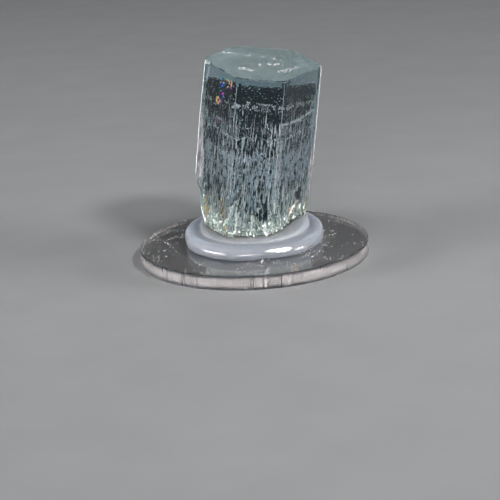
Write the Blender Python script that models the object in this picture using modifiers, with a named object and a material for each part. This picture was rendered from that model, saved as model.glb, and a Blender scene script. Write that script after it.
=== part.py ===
"""An aquamarine crystal on its display base.

A hexagonal prism of aquamarine, broken off at its lower end, leans a little in a collar of milky
mounting putty. The putty is pressed onto a round disc of clear acrylic. Units are metres, +Z is
up, -Y is the front, and the origin is the middle of the disc's underside.
"""

import math
from random import Random

import bmesh
import bpy
import numpy as np
from mathutils import Euler, Matrix, Vector, noise

MM = 0.001
GAP = 0.3 * MM  # room left between pieces that touch

# ---------------------------------------------------------------- driving dimensions
DISC_RADIUS = 25.4 * MM
DISC_THICKNESS = 3.175 * MM
DISC_EDGE_BREAK = 0.15 * MM
DISC_SIDES = 112

PUTTY_CENTRE = (0.2 * MM, 2.4 * MM)
PUTTY_HALF_WIDTH = 15.8 * MM
PUTTY_HALF_DEPTH = 17.8 * MM
PUTTY_RIM_HEIGHT = 2.5 * MM  # mean height of the outer ring
PUTTY_RIM_SWELL = 0.5 * MM  # the ring is this much thicker at the back left than its mean
PUTTY_SWELL_BEARING = 140.0
COLLAR_CENTRE = (0.3 * MM, 3.7 * MM)
COLLAR_HALF_WIDTH = 12.3 * MM
COLLAR_HALF_DEPTH = 14.7 * MM
COLLAR_HEIGHT = 2.7 * MM  # at its lowest, in front
COLLAR_RISE = 1.8 * MM  # the collar climbs this much higher round the back
COLLAR_RISE_BEARING = 75.0
PUTTY_COLUMNS = 32

CRYSTAL_LENGTH = 38.8 * MM  # along its own axis, from the broken end to the flat top
CRYSTAL_FOOT = (-1.15 * MM, 4.28 * MM, 4.5 * MM)  # middle of the broken end
LEAN_FORWARD = math.radians(5.4)
LEAN_RIGHT = math.radians(7.1)
PRISM_TURN = -0.75  # degrees that the prism is turned about its own axis
# Distance of the six prism faces from the axis, counterclockwise from the front face.
FACE_NAMES = ("front", "front_right", "back_right", "back", "back_left", "front_left")
FACE_DISTANCES = (12.6 * MM, 10.8 * MM, 12.6 * MM, 13.0 * MM, 11.5 * MM, 10.75 * MM)

# How deep the narrow face on each prism edge cuts into the sharp edge, as pairs of height on the
# crystal and depth in millimetres. Edge i lies between face i and the next one.
EDGE_CUTS = (
    ((-3.0, 1.6), (2.0, 0.9), (6.0, 0.35), (36.8, 0.2), (38.0, 0.4), (38.8, 0.75)),
    ((-3.0, 1.6), (2.0, 0.7), (6.0, 0.4), (12.0, 0.3), (37.8, 0.3), (38.8, 0.5)),
    ((-3.0, 1.8), (3.0, 0.9), (9.0, 0.5), (30.0, 0.4), (38.8, 0.5)),
    ((-3.0, 2.2), (3.0, 1.5), (8.0, 0.9), (38.8, 0.7)),
    ((-3.0, 3.2), (3.2, 2.1), (5.5, 1.3), (9.1, 1.2), (11.1, 0.5), (12.6, 0.2), (25.0, 0.4), (38.8, 0.9)),
    ((-3.0, 1.5), (2.0, 0.8), (6.0, 0.3), (27.0, 0.25), (34.0, 0.4), (38.8, 0.65)),
)
# Growth ledges: how far each face steps in, as pairs of height and depth in millimetres.
FACE_LEDGES = (
    ((-3.0, 0.7), (1.5, 0.35), (4.4, 0.3), (5.0, 0.0)),
    ((-3.0, 0.6), (2.5, 0.3), (8.2, 0.25), (8.8, 0.0)),
    ((-3.0, 0.9), (5.5, 0.4), (6.1, 0.15), (15.8, 0.15), (16.3, 0.0)),
    ((-3.0, 1.2), (3.5, 0.6), (4.2, 0.25), (12.0, 0.2), (12.6, 0.0)),
    ((-3.0, 1.0), (5.0, 0.5), (9.5, 0.4), (10.4, 0.1), (21.0, 0.1), (21.5, 0.0)),
    ((-3.0, 0.8), (4.0, 0.45), (9.6, 0.35), (10.6, 0.0)),
)
# Chips: face number, place across the face from 0 to 1, height, half width, half height and depth,
# the last four in millimetres.
CHIPS = (
    (1, 0.62, 6.4, 2.3, 2.4, 0.85),
    (5, 0.12, 9.2, 1.6, 2.0, 0.45),
    (4, 0.85, 7.0, 1.8, 2.6, 0.6),
    (3, 0.35, 5.2, 3.0, 2.2, 0.7),
    (2, 0.7, 3.8, 2.4, 2.0, 0.6),
    (0, 0.2, 3.4, 1.5, 1.3, 0.35),
    (3, 0.12, 38.1, 1.3, 0.9, 0.5),
    (1, 0.06, 38.4, 0.8, 0.8, 0.35),
)
# The longest growth tubes: thin six-sided channels along the crystal, open at its broken end.
TUBE_RINGS = 3  # rings of tubes round the one in the middle
TUBE_PITCH = 2.7 * MM
TUBE_SHIFT = 0.45 * MM  # most that a tube stands off its place in the pattern
TUBE_WIDTHS = (0.32 * MM, 0.60 * MM)
TUBE_TOPS = (25.0 * MM, 33.0 * MM)  # the crystal is clear above the highest
TUBE_START = -4.0 * MM
TUBE_POINT = 6.0  # length of a tube's pointed top, in its radii
FACE_COLUMNS = 9  # striation ridges and grooves across one prism face
GROOVE_DEPTH = 0.16 * MM
BREAK_ROUGHNESS = 0.45 * MM
TOP_EDGE_BREAK = 0.12 * MM
SEED = 17


# ---------------------------------------------------------------- helpers
def clear_scene():
    for item in list(bpy.data.objects):
        bpy.data.objects.remove(item, do_unlink=True)


def new_collection(name):
    collection = bpy.data.collections.new(name)
    bpy.context.scene.collection.children.link(collection)
    return collection


def new_material(name, colour, roughness):
    material = bpy.data.materials.new(name)
    material.use_nodes = True
    shader = material.node_tree.nodes["Principled BSDF"]
    shader.inputs["Base Color"].default_value = (*colour, 1.0)
    shader.inputs["Roughness"].default_value = roughness
    shader.inputs["Metallic"].default_value = 0.0
    material.diffuse_color = (*colour, 1.0)
    return material


def new_object(name, bm, collection, material=None):
    bmesh.ops.recalc_face_normals(bm, faces=bm.faces)
    mesh = bpy.data.meshes.new(name)
    bm.to_mesh(mesh)
    bm.free()
    if material:
        mesh.materials.append(material)
    item = bpy.data.objects.new(name, mesh)
    collection.objects.link(item)
    return item


def skin_rings(bm, rings):
    """Join closed rings of points with four-sided faces and return their vertices."""
    made = [[bm.verts.new(point) for point in ring] for ring in rings]
    count = len(made[0])
    for lower, upper in zip(made, made[1:]):
        for i in range(count):
            j = (i + 1) % count
            bm.faces.new((lower[i], lower[j], upper[j], upper[i]))
    return made


def read_pairs(pairs, height):
    """Depth in metres at a height in metres, from pairs written in millimetres."""
    heights = [pair[0] for pair in pairs]
    depths = [pair[1] for pair in pairs]
    return float(np.interp(height / MM, heights, depths)) * MM


# ---------------------------------------------------------------- the crystal's section
def face_normal(index):
    angle = math.radians(-90.0 + PRISM_TURN + 60.0 * index)
    return Vector((math.cos(angle), math.sin(angle)))


def face_direction(index):
    normal = face_normal(index)
    return Vector((-normal.y, normal.x))


def section_sides(height, margin=0.0):
    """The two ends of each prism face in the section at this height, moved out by the margin.

    Neighbouring faces meet at 120 degrees, so a cut of some depth along the bisector moves the
    end of a face back by twice that depth.
    """
    distances = [
        FACE_DISTANCES[i] - read_pairs(FACE_LEDGES[i], height) + margin for i in range(6)
    ]
    starts, ends = [None] * 6, [None] * 6
    for i in range(6):
        j = (i + 1) % 6
        a, b = face_normal(i), face_normal(j)
        area = a.x * b.y - a.y * b.x
        sharp = Vector(
            (
                (distances[i] * b.y - distances[j] * a.y) / area,
                (distances[j] * a.x - distances[i] * b.x) / area,
            )
        )
        cut = read_pairs(EDGE_CUTS[i], height)
        ends[i] = sharp - face_direction(i) * 2.0 * cut
        starts[j] = sharp + face_direction(j) * 2.0 * cut
    return list(zip(starts, ends))


def foot_height(x, y):
    """Height on the crystal, in its own frame, of the level plane through its foot."""
    rise = x * math.sin(LEAN_RIGHT) - y * math.sin(LEAN_FORWARD) * math.cos(LEAN_RIGHT)
    return rise / (math.cos(LEAN_FORWARD) * math.cos(LEAN_RIGHT))


def chip_depth(face, across, height, width):
    """How deep the chips bite at a place on a face: a shallow bowl for each."""
    depth = 0.0
    for chip_face, chip_across, chip_height, half_width, half_height, chip_deep in CHIPS:
        if chip_face != face:
            continue
        du = (across - chip_across) * width / (half_width * MM)
        dv = (height - chip_height * MM) / (half_height * MM)
        reach = 1.0 - du * du - dv * dv
        if reach > 0.0:
            depth = max(depth, chip_deep * MM * math.sqrt(reach))
    return depth


def groove_pattern():
    """Places and depths of the lengthwise ridges and grooves on each face."""
    random = Random(SEED)
    pattern = []
    for _ in range(6):
        columns = [(0.0, 0.0)]
        for j in range(FACE_COLUMNS):
            place = (j + 1 + random.uniform(-0.3, 0.3)) / (FACE_COLUMNS + 1)
            deep = random.uniform(0.45, 1.0) if j % 2 == 0 else random.uniform(0.0, 0.35)
            columns.append((place, deep * GROOVE_DEPTH))
        columns.append((1.0, 0.0))
        pattern.append(columns)
    return pattern


def crystal_ring(nominal, pattern):
    """One ring of points round the crystal, from its level foot up to its square top."""
    share = nominal / CRYSTAL_LENGTH
    ring = []
    for face, columns in enumerate(pattern):
        normal = face_normal(face)
        for place, groove in columns:
            start, end = section_sides(nominal)[face]
            flat = start.lerp(end, place)
            low = foot_height(flat.x, flat.y)
            height = low + share * (CRYSTAL_LENGTH - low)
            start, end = section_sides(height)[face]
            flat = start.lerp(end, place)
            worn = 0.6 + 0.4 * noise.noise(Vector((flat.x, flat.y, height * 0.25)) * 300.0)
            inward = groove * worn + chip_depth(face, place, height, (end - start).length)
            flat = flat - normal * inward
            rough = max(0.0, 1.0 - height / (10.0 * MM)) * BREAK_ROUGHNESS
            wave = 0.5 + 0.5 * noise.noise(Vector((flat.x, flat.y, height)) * 420.0)
            flat = flat * (1.0 - rough * wave / flat.length)
            ring.append(Vector((flat.x, flat.y, height)))
    return ring


def crystal_heights():
    """Ring heights: close together on the broken end, wider up the clean prism."""
    lower = np.arange(0.0, 13.5, 1.0)
    upper = np.arange(15.0, 36.5, 2.4)
    top = np.array([37.1, 38.0, 38.5])
    return np.concatenate([lower, upper, top]) * MM


def tube_places():
    """Places of the growth tubes in the section: one in the middle and rings of six sides."""
    random = Random(SEED + 2)
    places = [Vector((0.0, 0.0))]
    for ring in range(1, TUBE_RINGS + 1):
        for side in range(6):
            turn = math.radians(PRISM_TURN + 60.0 * side)
            corner = Vector((math.cos(turn), math.sin(turn))) * ring * TUBE_PITCH
            along = face_direction(side + 2)
            for step in range(ring):
                shift = Vector((random.uniform(-1.0, 1.0), random.uniform(-1.0, 1.0))) * TUBE_SHIFT
                places.append(corner + along * step * TUBE_PITCH + shift)
    return places


def build_tube_cutter(collection):
    """A needle for each growth tube, from below the broken end up to its pointed top."""
    random = Random(SEED + 3)
    bm = bmesh.new()
    for place in tube_places():
        radius = random.uniform(*TUBE_WIDTHS) / 2.0
        top = random.uniform(*TUBE_TOPS)
        rings = []
        for height in (TUBE_START, top - TUBE_POINT * radius):
            turns = [math.radians(PRISM_TURN + 60.0 * i) for i in range(6)]
            rings.append(
                [
                    Vector((place.x + radius * math.cos(t), place.y + radius * math.sin(t), height))
                    for t in turns
                ]
            )
        made = skin_rings(bm, rings)
        bm.faces.new(reversed(made[0]))
        tip = bm.verts.new((place.x, place.y, top))
        for i in range(6):
            bm.faces.new((made[1][i], made[1][(i + 1) % 6], tip))
    cutter = new_object("growth_tube_cutter", bm, collection)
    cutter.location = CRYSTAL_FOOT
    cutter.rotation_euler = (LEAN_FORWARD, LEAN_RIGHT, 0.0)
    cutter.hide_render = True
    cutter.display_type = "WIRE"
    return cutter


def build_crystal(collection, tube_cutter):
    pattern = groove_pattern()
    rings = [crystal_ring(height, pattern) for height in crystal_heights()]
    shoulder = crystal_ring(CRYSTAL_LENGTH - TOP_EDGE_BREAK, pattern)
    rings.append(shoulder)
    random = Random(SEED + 1)
    rim = []
    for point in crystal_ring(CRYSTAL_LENGTH, pattern):
        inset = TOP_EDGE_BREAK * random.uniform(0.5, 2.2)
        flat = Vector((point.x, point.y))
        flat = flat * (1.0 - inset / flat.length)
        rim.append(Vector((flat.x, flat.y, CRYSTAL_LENGTH)))
    rings.append(rim)
    foot_rings = []
    for share in (0.35, 0.72):
        foot_rings.append(
            [
                Vector((p.x * share, p.y * share, foot_height(p.x * share, p.y * share)))
                + Vector((0.0, 0.0, (0.6 + 0.5 * noise.noise(p * share * 260.0)) * MM))
                for p in rings[0]
            ]
        )
    bm = bmesh.new()
    made = skin_rings(bm, foot_rings + rings)
    bm.faces.new(reversed(made[0]))
    bm.faces.new(made[-1])
    material = new_material("aquamarine", (0.50, 0.68, 0.70), 0.08)
    crystal = new_object("aquamarine_crystal", bm, collection, material)
    crystal.location = CRYSTAL_FOOT
    crystal.rotation_euler = (LEAN_FORWARD, LEAN_RIGHT, 0.0)
    tubes = crystal.modifiers.new("growth_tubes", "BOOLEAN")
    tubes.operation = "DIFFERENCE"
    tubes.solver = "EXACT"
    tubes.object = tube_cutter
    return crystal


def build_socket_cutter(collection):
    """The crystal's lower end without its grooves, a gap larger all round."""
    rings = []
    for nominal in np.arange(0.0, 12.5, 2.0) * MM:
        ring = []
        for face in range(6):
            for end in (0, 1):
                flat = section_sides(nominal, GAP)[face][end]
                height = nominal + foot_height(flat.x, flat.y)
                flat = section_sides(height, GAP)[face][end]
                ring.append(Vector((flat.x, flat.y, height - (GAP if nominal == 0.0 else 0.0))))
        rings.append(ring)
    bm = bmesh.new()
    made = skin_rings(bm, rings)
    bm.faces.new(reversed(made[0]))
    bm.faces.new(made[-1])
    cutter = new_object("socket_cutter", bm, collection)
    cutter.location = CRYSTAL_FOOT
    cutter.rotation_euler = (LEAN_FORWARD, LEAN_RIGHT, 0.0)
    cutter.hide_render = True
    cutter.display_type = "WIRE"
    return cutter


# ---------------------------------------------------------------- putty and disc
def oval_point(centre, half_width, half_depth, bearing, inset, height):
    return Vector(
        (
            centre[0] + (half_width - inset) * math.cos(bearing),
            centre[1] + (half_depth - inset) * math.sin(bearing),
            height,
        )
    )


def build_putty(collection, cutter):
    """A pressed ring of putty with a collar, from a coarse cage that is subdivided."""
    bottom = DISC_THICKNESS + GAP
    bearings = [2.0 * math.pi * i / PUTTY_COLUMNS for i in range(PUTTY_COLUMNS)]

    def rim_top(bearing):
        swell = math.cos(bearing - math.radians(PUTTY_SWELL_BEARING))
        return DISC_THICKNESS + PUTTY_RIM_HEIGHT + PUTTY_RIM_SWELL * swell

    def collar_top(bearing):
        rise = 0.5 + 0.5 * math.cos(bearing - math.radians(COLLAR_RISE_BEARING))
        return DISC_THICKNESS + COLLAR_HEIGHT + COLLAR_RISE * rise * rise

    def outer(inset, height_of):
        return [
            oval_point(
                PUTTY_CENTRE,
                PUTTY_HALF_WIDTH * (1.0 + 0.012 * math.cos(3.0 * b + 0.6)),
                PUTTY_HALF_DEPTH * (1.0 + 0.012 * math.cos(3.0 * b + 0.6)),
                b,
                inset,
                height_of(b),
            )
            for b in bearings
        ]

    def inner(inset, height_of):
        return [
            oval_point(COLLAR_CENTRE, COLLAR_HALF_WIDTH, COLLAR_HALF_DEPTH, b, inset, height_of(b))
            for b in bearings
        ]

    rings = [
        outer(5.0 * MM, lambda b: bottom),
        outer(1.5 * MM, lambda b: bottom),
        outer(0.5 * MM, lambda b: bottom + 0.02 * MM),
        outer(-0.25 * MM, lambda b: bottom + 0.3 * (rim_top(b) - bottom)),
        outer(-0.1 * MM, lambda b: bottom + 0.85 * (rim_top(b) - bottom)),
        outer(1.3 * MM, lambda b: rim_top(b) + 0.15 * MM),
        inner(-0.25 * MM, lambda b: rim_top(b) - 0.05 * MM),
        inner(0.0 * MM, lambda b: rim_top(b) + 0.45 * (collar_top(b) - rim_top(b))),
        inner(0.3 * MM, lambda b: collar_top(b)),
        inner(1.6 * MM, lambda b: collar_top(b) + 0.1 * MM),
        inner(4.0 * MM, lambda b: DISC_THICKNESS + COLLAR_HEIGHT + 0.5 * COLLAR_RISE),
    ]
    bm = bmesh.new()
    made = skin_rings(bm, rings)
    bm.faces.new(reversed(made[0]))
    bm.faces.new(made[-1])
    material = new_material("milky_putty", (0.72, 0.75, 0.80), 0.25)
    putty = new_object("mounting_putty", bm, collection, material)
    soften = putty.modifiers.new("soften", "SUBSURF")
    soften.levels = 1
    soften.render_levels = 1
    socket = putty.modifiers.new("socket", "BOOLEAN")
    socket.operation = "DIFFERENCE"
    socket.solver = "EXACT"
    socket.object = cutter
    putty.data.shade_smooth()
    putty.data.set_sharp_from_angle(angle=math.radians(40.0))
    return putty


def build_disc(collection):
    """A turned disc, seen as cut from clear sheet: flat faces and a lightly broken rim."""
    bm = bmesh.new()
    bmesh.ops.create_cone(
        bm,
        cap_ends=True,
        cap_tris=False,
        segments=DISC_SIDES,
        radius1=DISC_RADIUS,
        radius2=DISC_RADIUS,
        depth=DISC_THICKNESS,
        matrix=Matrix.Translation((0.0, 0.0, DISC_THICKNESS / 2.0)),
    )
    material = new_material("clear_acrylic", (0.86, 0.88, 0.89), 0.06)
    disc = new_object("base_disc", bm, collection, material)
    edge = disc.modifiers.new("broken_edge", "BEVEL")
    edge.width = DISC_EDGE_BREAK
    edge.segments = 1
    edge.limit_method = "ANGLE"
    edge.angle_limit = math.radians(50.0)
    disc.data.shade_smooth()
    disc.data.set_sharp_from_angle(angle=math.radians(30.0))
    return disc


def main():
    clear_scene()
    model = new_collection("aquamarine_on_base")
    cutters = new_collection("cutters")
    build_disc(model)
    build_putty(model, build_socket_cutter(cutters))
    build_crystal(model, build_tube_cutter(cutters))


main()
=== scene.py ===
# %% [markdown]
# # An aquamarine crystal on its display base
#
# Aquamarine is a blue beryl that grows as a six-sided prism with a flat end. This one is clear for
# its last few millimetres and full of fine lengthwise growth tubes below that. It was broken off
# its rock, stands a little askew in a collar of milky putty, and the putty is pressed onto a round
# disc of clear acrylic. The lesson builds the three pieces, then what lies inside the crystal.
#
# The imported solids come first, as a frame that never moves. Everything below is laid over them.

# %% Load the frame
import math
from random import Random

import bmesh
import bpy
import numpy as np
from mathutils import Euler, Matrix, Vector, noise
from mathutils.bvhtree import BVHTree


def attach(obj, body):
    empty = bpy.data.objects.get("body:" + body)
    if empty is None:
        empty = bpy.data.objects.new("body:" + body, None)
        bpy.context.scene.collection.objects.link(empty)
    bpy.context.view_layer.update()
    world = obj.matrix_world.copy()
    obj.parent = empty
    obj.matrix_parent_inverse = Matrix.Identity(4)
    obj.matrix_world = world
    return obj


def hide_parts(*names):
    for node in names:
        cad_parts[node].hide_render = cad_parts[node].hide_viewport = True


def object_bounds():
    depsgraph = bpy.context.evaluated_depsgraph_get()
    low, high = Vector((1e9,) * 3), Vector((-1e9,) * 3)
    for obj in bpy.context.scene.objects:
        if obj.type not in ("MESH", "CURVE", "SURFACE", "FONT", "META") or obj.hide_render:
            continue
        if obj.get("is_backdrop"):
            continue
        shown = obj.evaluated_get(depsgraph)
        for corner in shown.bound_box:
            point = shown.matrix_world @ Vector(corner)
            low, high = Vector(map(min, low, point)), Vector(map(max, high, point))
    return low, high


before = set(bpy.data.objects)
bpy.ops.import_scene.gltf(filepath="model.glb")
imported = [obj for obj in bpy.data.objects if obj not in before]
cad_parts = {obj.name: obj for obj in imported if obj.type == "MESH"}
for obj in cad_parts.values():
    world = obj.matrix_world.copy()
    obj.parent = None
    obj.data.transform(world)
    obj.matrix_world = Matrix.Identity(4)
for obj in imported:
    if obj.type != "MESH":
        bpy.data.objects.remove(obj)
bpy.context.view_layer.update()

MM = 0.001
print("solids:", sorted(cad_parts))

# %% [markdown]
# ## Sizes
#
# The prism is set out in its own frame: its origin is the middle of the broken end and +Z runs up
# the crystal. Six faces stand 120 degrees to each other at different distances from the axis, which
# is how a real prism differs from a perfect hexagon. These are the driving sizes of the solids, so
# that the fine surfaces lie where the solids are. Three differ from them by a few tenths of a
# millimetre: the cut at the top of the front right edge, one chip in the rim, and the collar's height.
# The solid also has narrow channels from its broken end, which this finer body leaves out.

# %% Sizes of the crystal
CRYSTAL_LENGTH = 38.8 * MM
CRYSTAL_FOOT = (-1.15 * MM, 4.28 * MM, 4.5 * MM)
LEAN_FORWARD = math.radians(5.4)
LEAN_RIGHT = math.radians(7.1)
PRISM_TURN = -0.75
FRONT, FRONT_RIGHT, BACK_RIGHT, BACK, BACK_LEFT, FRONT_LEFT = range(6)
FACE_DISTANCES = np.array([12.6, 10.8, 12.6, 13.0, 11.5, 10.75]) * MM

# Depth of the narrow face along each prism edge, as pairs of height and depth in millimetres.
# Edge i lies between face i and the next one.
EDGE_CUTS = (
    ((-3.0, 1.6), (2.0, 0.9), (6.0, 0.35), (36.8, 0.2), (38.8, 0.45)),
    ((-3.0, 1.6), (2.0, 0.7), (6.0, 0.4), (12.0, 0.3), (37.8, 0.3), (38.8, 0.5)),
    ((-3.0, 1.8), (3.0, 0.9), (9.0, 0.5), (30.0, 0.4), (38.8, 0.5)),
    ((-3.0, 2.2), (3.0, 1.5), (8.0, 0.9), (38.8, 0.7)),
    ((-3.0, 3.2), (3.2, 2.1), (5.5, 1.3), (9.1, 1.2), (11.1, 0.5), (12.6, 0.2), (25.0, 0.4),
     (38.8, 0.9)),
    ((-3.0, 1.5), (2.0, 0.8), (6.0, 0.3), (27.0, 0.25), (34.0, 0.4), (38.8, 0.65)),
)
# Growth ledges: how far each face steps in, as pairs of height and depth in millimetres.
FACE_LEDGES = (
    ((-3.0, 0.7), (1.5, 0.35), (4.4, 0.3), (5.0, 0.0)),
    ((-3.0, 0.6), (2.5, 0.3), (8.2, 0.25), (8.8, 0.0)),
    ((-3.0, 0.9), (5.5, 0.4), (6.1, 0.15), (15.8, 0.15), (16.3, 0.0)),
    ((-3.0, 1.2), (3.5, 0.6), (4.2, 0.25), (12.0, 0.2), (12.6, 0.0)),
    ((-3.0, 1.0), (5.0, 0.5), (9.5, 0.4), (10.4, 0.1), (21.0, 0.1), (21.5, 0.0)),
    ((-3.0, 0.8), (4.0, 0.45), (9.6, 0.35), (10.6, 0.0)),
)
# Chips: face, place across it from 0 to 1, height, half width, half height and depth in millimetres.
CHIPS = (
    (FRONT_RIGHT, 0.62, 6.4, 2.3, 2.4, 0.85),
    (FRONT_LEFT, 0.12, 9.2, 1.6, 2.0, 0.45),
    (BACK_LEFT, 0.85, 7.0, 1.8, 2.6, 0.6),
    (BACK, 0.35, 5.2, 3.0, 2.2, 0.7),
    (BACK_RIGHT, 0.7, 3.8, 2.4, 2.0, 0.6),
    (FRONT, 0.2, 3.4, 1.5, 1.3, 0.35),
    (BACK, 0.12, 38.1, 1.3, 0.9, 0.5),
    (FRONT_RIGHT, 0.06, 38.5, 0.7, 0.5, 0.12),
)
TO_WORLD = Matrix.Translation(CRYSTAL_FOOT) @ Euler((LEAN_FORWARD, LEAN_RIGHT, 0.0)).to_matrix().to_4x4()
print(f"prism {CRYSTAL_LENGTH / MM:.1f} mm long, leaning {math.degrees(LEAN_RIGHT):.1f} degrees right")

# %% Sizes of the disc and the putty
DISC_RADIUS = 25.4 * MM
DISC_THICKNESS = 3.175 * MM
PUTTY_CENTRE = (0.2 * MM, 2.4 * MM)
PUTTY_HALF_WIDTH = 15.8 * MM
PUTTY_HALF_DEPTH = 17.8 * MM
PUTTY_RIM_HEIGHT = 2.5 * MM
PUTTY_RIM_SWELL = 0.5 * MM
PUTTY_SWELL_BEARING = math.radians(140.0)
COLLAR_CENTRE = (0.3 * MM, 3.7 * MM)
COLLAR_HALF_WIDTH = 12.3 * MM
COLLAR_HALF_DEPTH = 14.7 * MM
COLLAR_HEIGHT = 3.0 * MM
COLLAR_RISE = 1.8 * MM
COLLAR_RISE_BEARING = math.radians(75.0)
print(f"disc {2 * DISC_RADIUS / MM:.1f} mm across and {DISC_THICKNESS / MM:.2f} mm thick")

# %% [markdown]
# ## Camera
#
# The camera is a long lens 37 centimetres from the specimen, 17 degrees above the table. It is
# rolled by 3 degrees, which is why the disc looks as if it rises to the right.

# %% Camera
CAMERA_DISTANCE = 370.9 * MM
CAMERA_ELEVATION = math.radians(17.24)
CAMERA_ROLL = math.radians(-3.33)
CAMERA_LENS = 119.6  # millimetres, on a sensor 36 mm wide
CAMERA_AIM = Vector((-1.03 * MM, 0.0, 1.03 * MM))

lens = bpy.data.cameras.new("studio_camera")
lens.lens = CAMERA_LENS
lens.sensor_width = 36.0
lens.clip_start = 0.01
camera = bpy.data.objects.new("studio_camera", lens)
bpy.context.scene.collection.objects.link(camera)
camera.location = (
    0.0,
    -CAMERA_DISTANCE * math.cos(CAMERA_ELEVATION),
    CAMERA_DISTANCE * math.sin(CAMERA_ELEVATION),
)
sight = (CAMERA_AIM - camera.location).to_track_quat("-Z", "Y")
camera.rotation_euler = (sight.to_matrix() @ Matrix.Rotation(CAMERA_ROLL, 3, "Z")).to_euler()
bpy.context.scene.camera = camera
print("camera at", [round(v, 4) for v in camera.location])

# %% [markdown]
# ## Helpers for meshes
#
# A loft joins closed rings of points. Every finished piece is put in the object's frame through its
# mesh, so its object stays at the origin, unturned.

# %% Mesh helpers
def mesh_object(name, bm, matrix=None):
    """Make an object from a bmesh, with the matrix applied to the mesh and faces outward."""
    bmesh.ops.recalc_face_normals(bm, faces=bm.faces)
    mesh = bpy.data.meshes.new(name)
    bm.to_mesh(mesh)
    bm.free()
    if matrix:
        mesh.transform(matrix)
    item = bpy.data.objects.new(name, mesh)
    bpy.context.scene.collection.objects.link(item)
    return item


def add_rings(bm, rings):
    """Skin closed rings of points with four-sided faces; returns the vertices ring by ring."""
    made = [[bm.verts.new(point) for point in ring] for ring in rings]
    count = len(made[0])
    for lower, upper in zip(made, made[1:]):
        for i in range(count):
            j = (i + 1) % count
            bm.faces.new((lower[i], lower[j], upper[j], upper[i]))
    return made


def pairs(table, heights):
    """Depths in metres at heights in metres, from pairs written in millimetres."""
    return np.interp(heights / MM, [p[0] for p in table], [p[1] for p in table]) * MM


def worn(x, y, z, scale):
    """Smooth noise from -1 to 1 at a place in metres, with features of about 1/scale mm."""
    return noise.noise(Vector((x, y, z)) * (scale / MM))


# %% [markdown]
# ## The prism's section
#
# At any height the outline is six lines, with a narrow face across each corner. A cut of some depth
# along the bisector of a 120 degree corner moves the end of each line back by twice that depth.

# %% Section of the prism
def face_normals():
    angles = np.radians(-90.0 + PRISM_TURN + 60.0 * np.arange(6))
    return np.stack([np.cos(angles), np.sin(angles)], axis=1)


NORMALS = face_normals()
TANGENTS = np.stack([-NORMALS[:, 1], NORMALS[:, 0]], axis=1)


def sharp_corner(i, heights, margin):
    """Where faces i and i + 1 would meet, at each height."""
    j = (i + 1) % 6
    reach_i = FACE_DISTANCES[i] - pairs(FACE_LEDGES[i], heights) + margin
    reach_j = FACE_DISTANCES[j] - pairs(FACE_LEDGES[j], heights) + margin
    (ax, ay), (bx, by) = NORMALS[i], NORMALS[j]
    area = ax * by - ay * bx
    x = (reach_i * by - reach_j * ay) / area
    y = (reach_j * ax - reach_i * bx) / area
    return np.stack([x, y], axis=-1)


def face_ends(i, heights, margin=0.0):
    """The two ends of face i at each height, as two arrays of points."""
    before = (i - 1) % 6
    cut_before = pairs(EDGE_CUTS[before], heights)[..., None]
    cut_after = pairs(EDGE_CUTS[i], heights)[..., None]
    start = sharp_corner(before, heights, margin) + TANGENTS[i] * 2.0 * cut_before
    end = sharp_corner(i, heights, margin) - TANGENTS[i] * 2.0 * cut_after
    return start, end


def foot_height(x, y):
    """Height, in the crystal's frame, of the level plane through its foot."""
    rise = x * math.sin(LEAN_RIGHT) - y * math.sin(LEAN_FORWARD) * math.cos(LEAN_RIGHT)
    return rise / (math.cos(LEAN_FORWARD) * math.cos(LEAN_RIGHT))


top_corners = [sharp_corner(i, np.array([CRYSTAL_LENGTH]), 0.0)[0] / MM for i in range(6)]
print("sharp corners of the top, mm:", [tuple(float(v) for v in c.round(1)) for c in top_corners])

# %% [markdown]
# ## Surface of the crystal
#
# A prism face is flat at arm's length, but it carries lengthwise striations: growth steps a few
# hundredths of a millimetre high. They are modelled, because they bend what is seen through the
# crystal and catch the light along the edges. They fade in the clear cap. The lower third is worn
# and chipped, and the break itself is rough.

# %% Striations, steps and chips
FACE_COLUMNS = 44
STEP_BANDS = 7
FINE_GROOVE = 0.010 * MM
STEP_DEPTH = 0.045 * MM
ROUGH_DEPTH = 0.34 * MM
ROUGH_TOP = 9.5 * MM
CAP_START = 32.0 * MM
EDGE_BREAK_WIDTH = 5.0 * MM
EDGE_BREAK_DEPTH = 0.55 * MM
EDGE_CALM_HEIGHT = 6.0 * MM


def step_bands(face):
    """Edges across the face, depths and end heights of its growth steps."""
    random = Random(100 + face)
    bands = []
    for _ in range(STEP_BANDS):
        start = random.uniform(0.02, 0.9)
        width = random.uniform(0.03, 0.22)
        end_height = random.uniform(12.0, 44.0) * MM
        bands.append((start, start + width, random.uniform(0.3, 1.0) * STEP_DEPTH, end_height))
    return bands


BANDS = [step_bands(face) for face in range(6)]


def chip_depth(face, place, height, width):
    """How deep the chips bite: a shallow shell-shaped bowl for each."""
    depth = 0.0
    for chip_face, chip_place, chip_height, half_width, half_height, deep in CHIPS:
        if chip_face != face:
            continue
        du = (place - chip_place) * width / (half_width * MM)
        dv = (height - chip_height * MM) / (half_height * MM)
        reach = 1.0 - du * du - dv * dv
        if reach > 0.0:
            ripple = 1.0 + 0.06 * math.sin(14.0 * math.sqrt(du * du + dv * dv))
            depth = max(depth, deep * MM * math.sqrt(reach) * ripple)
    return depth


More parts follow.
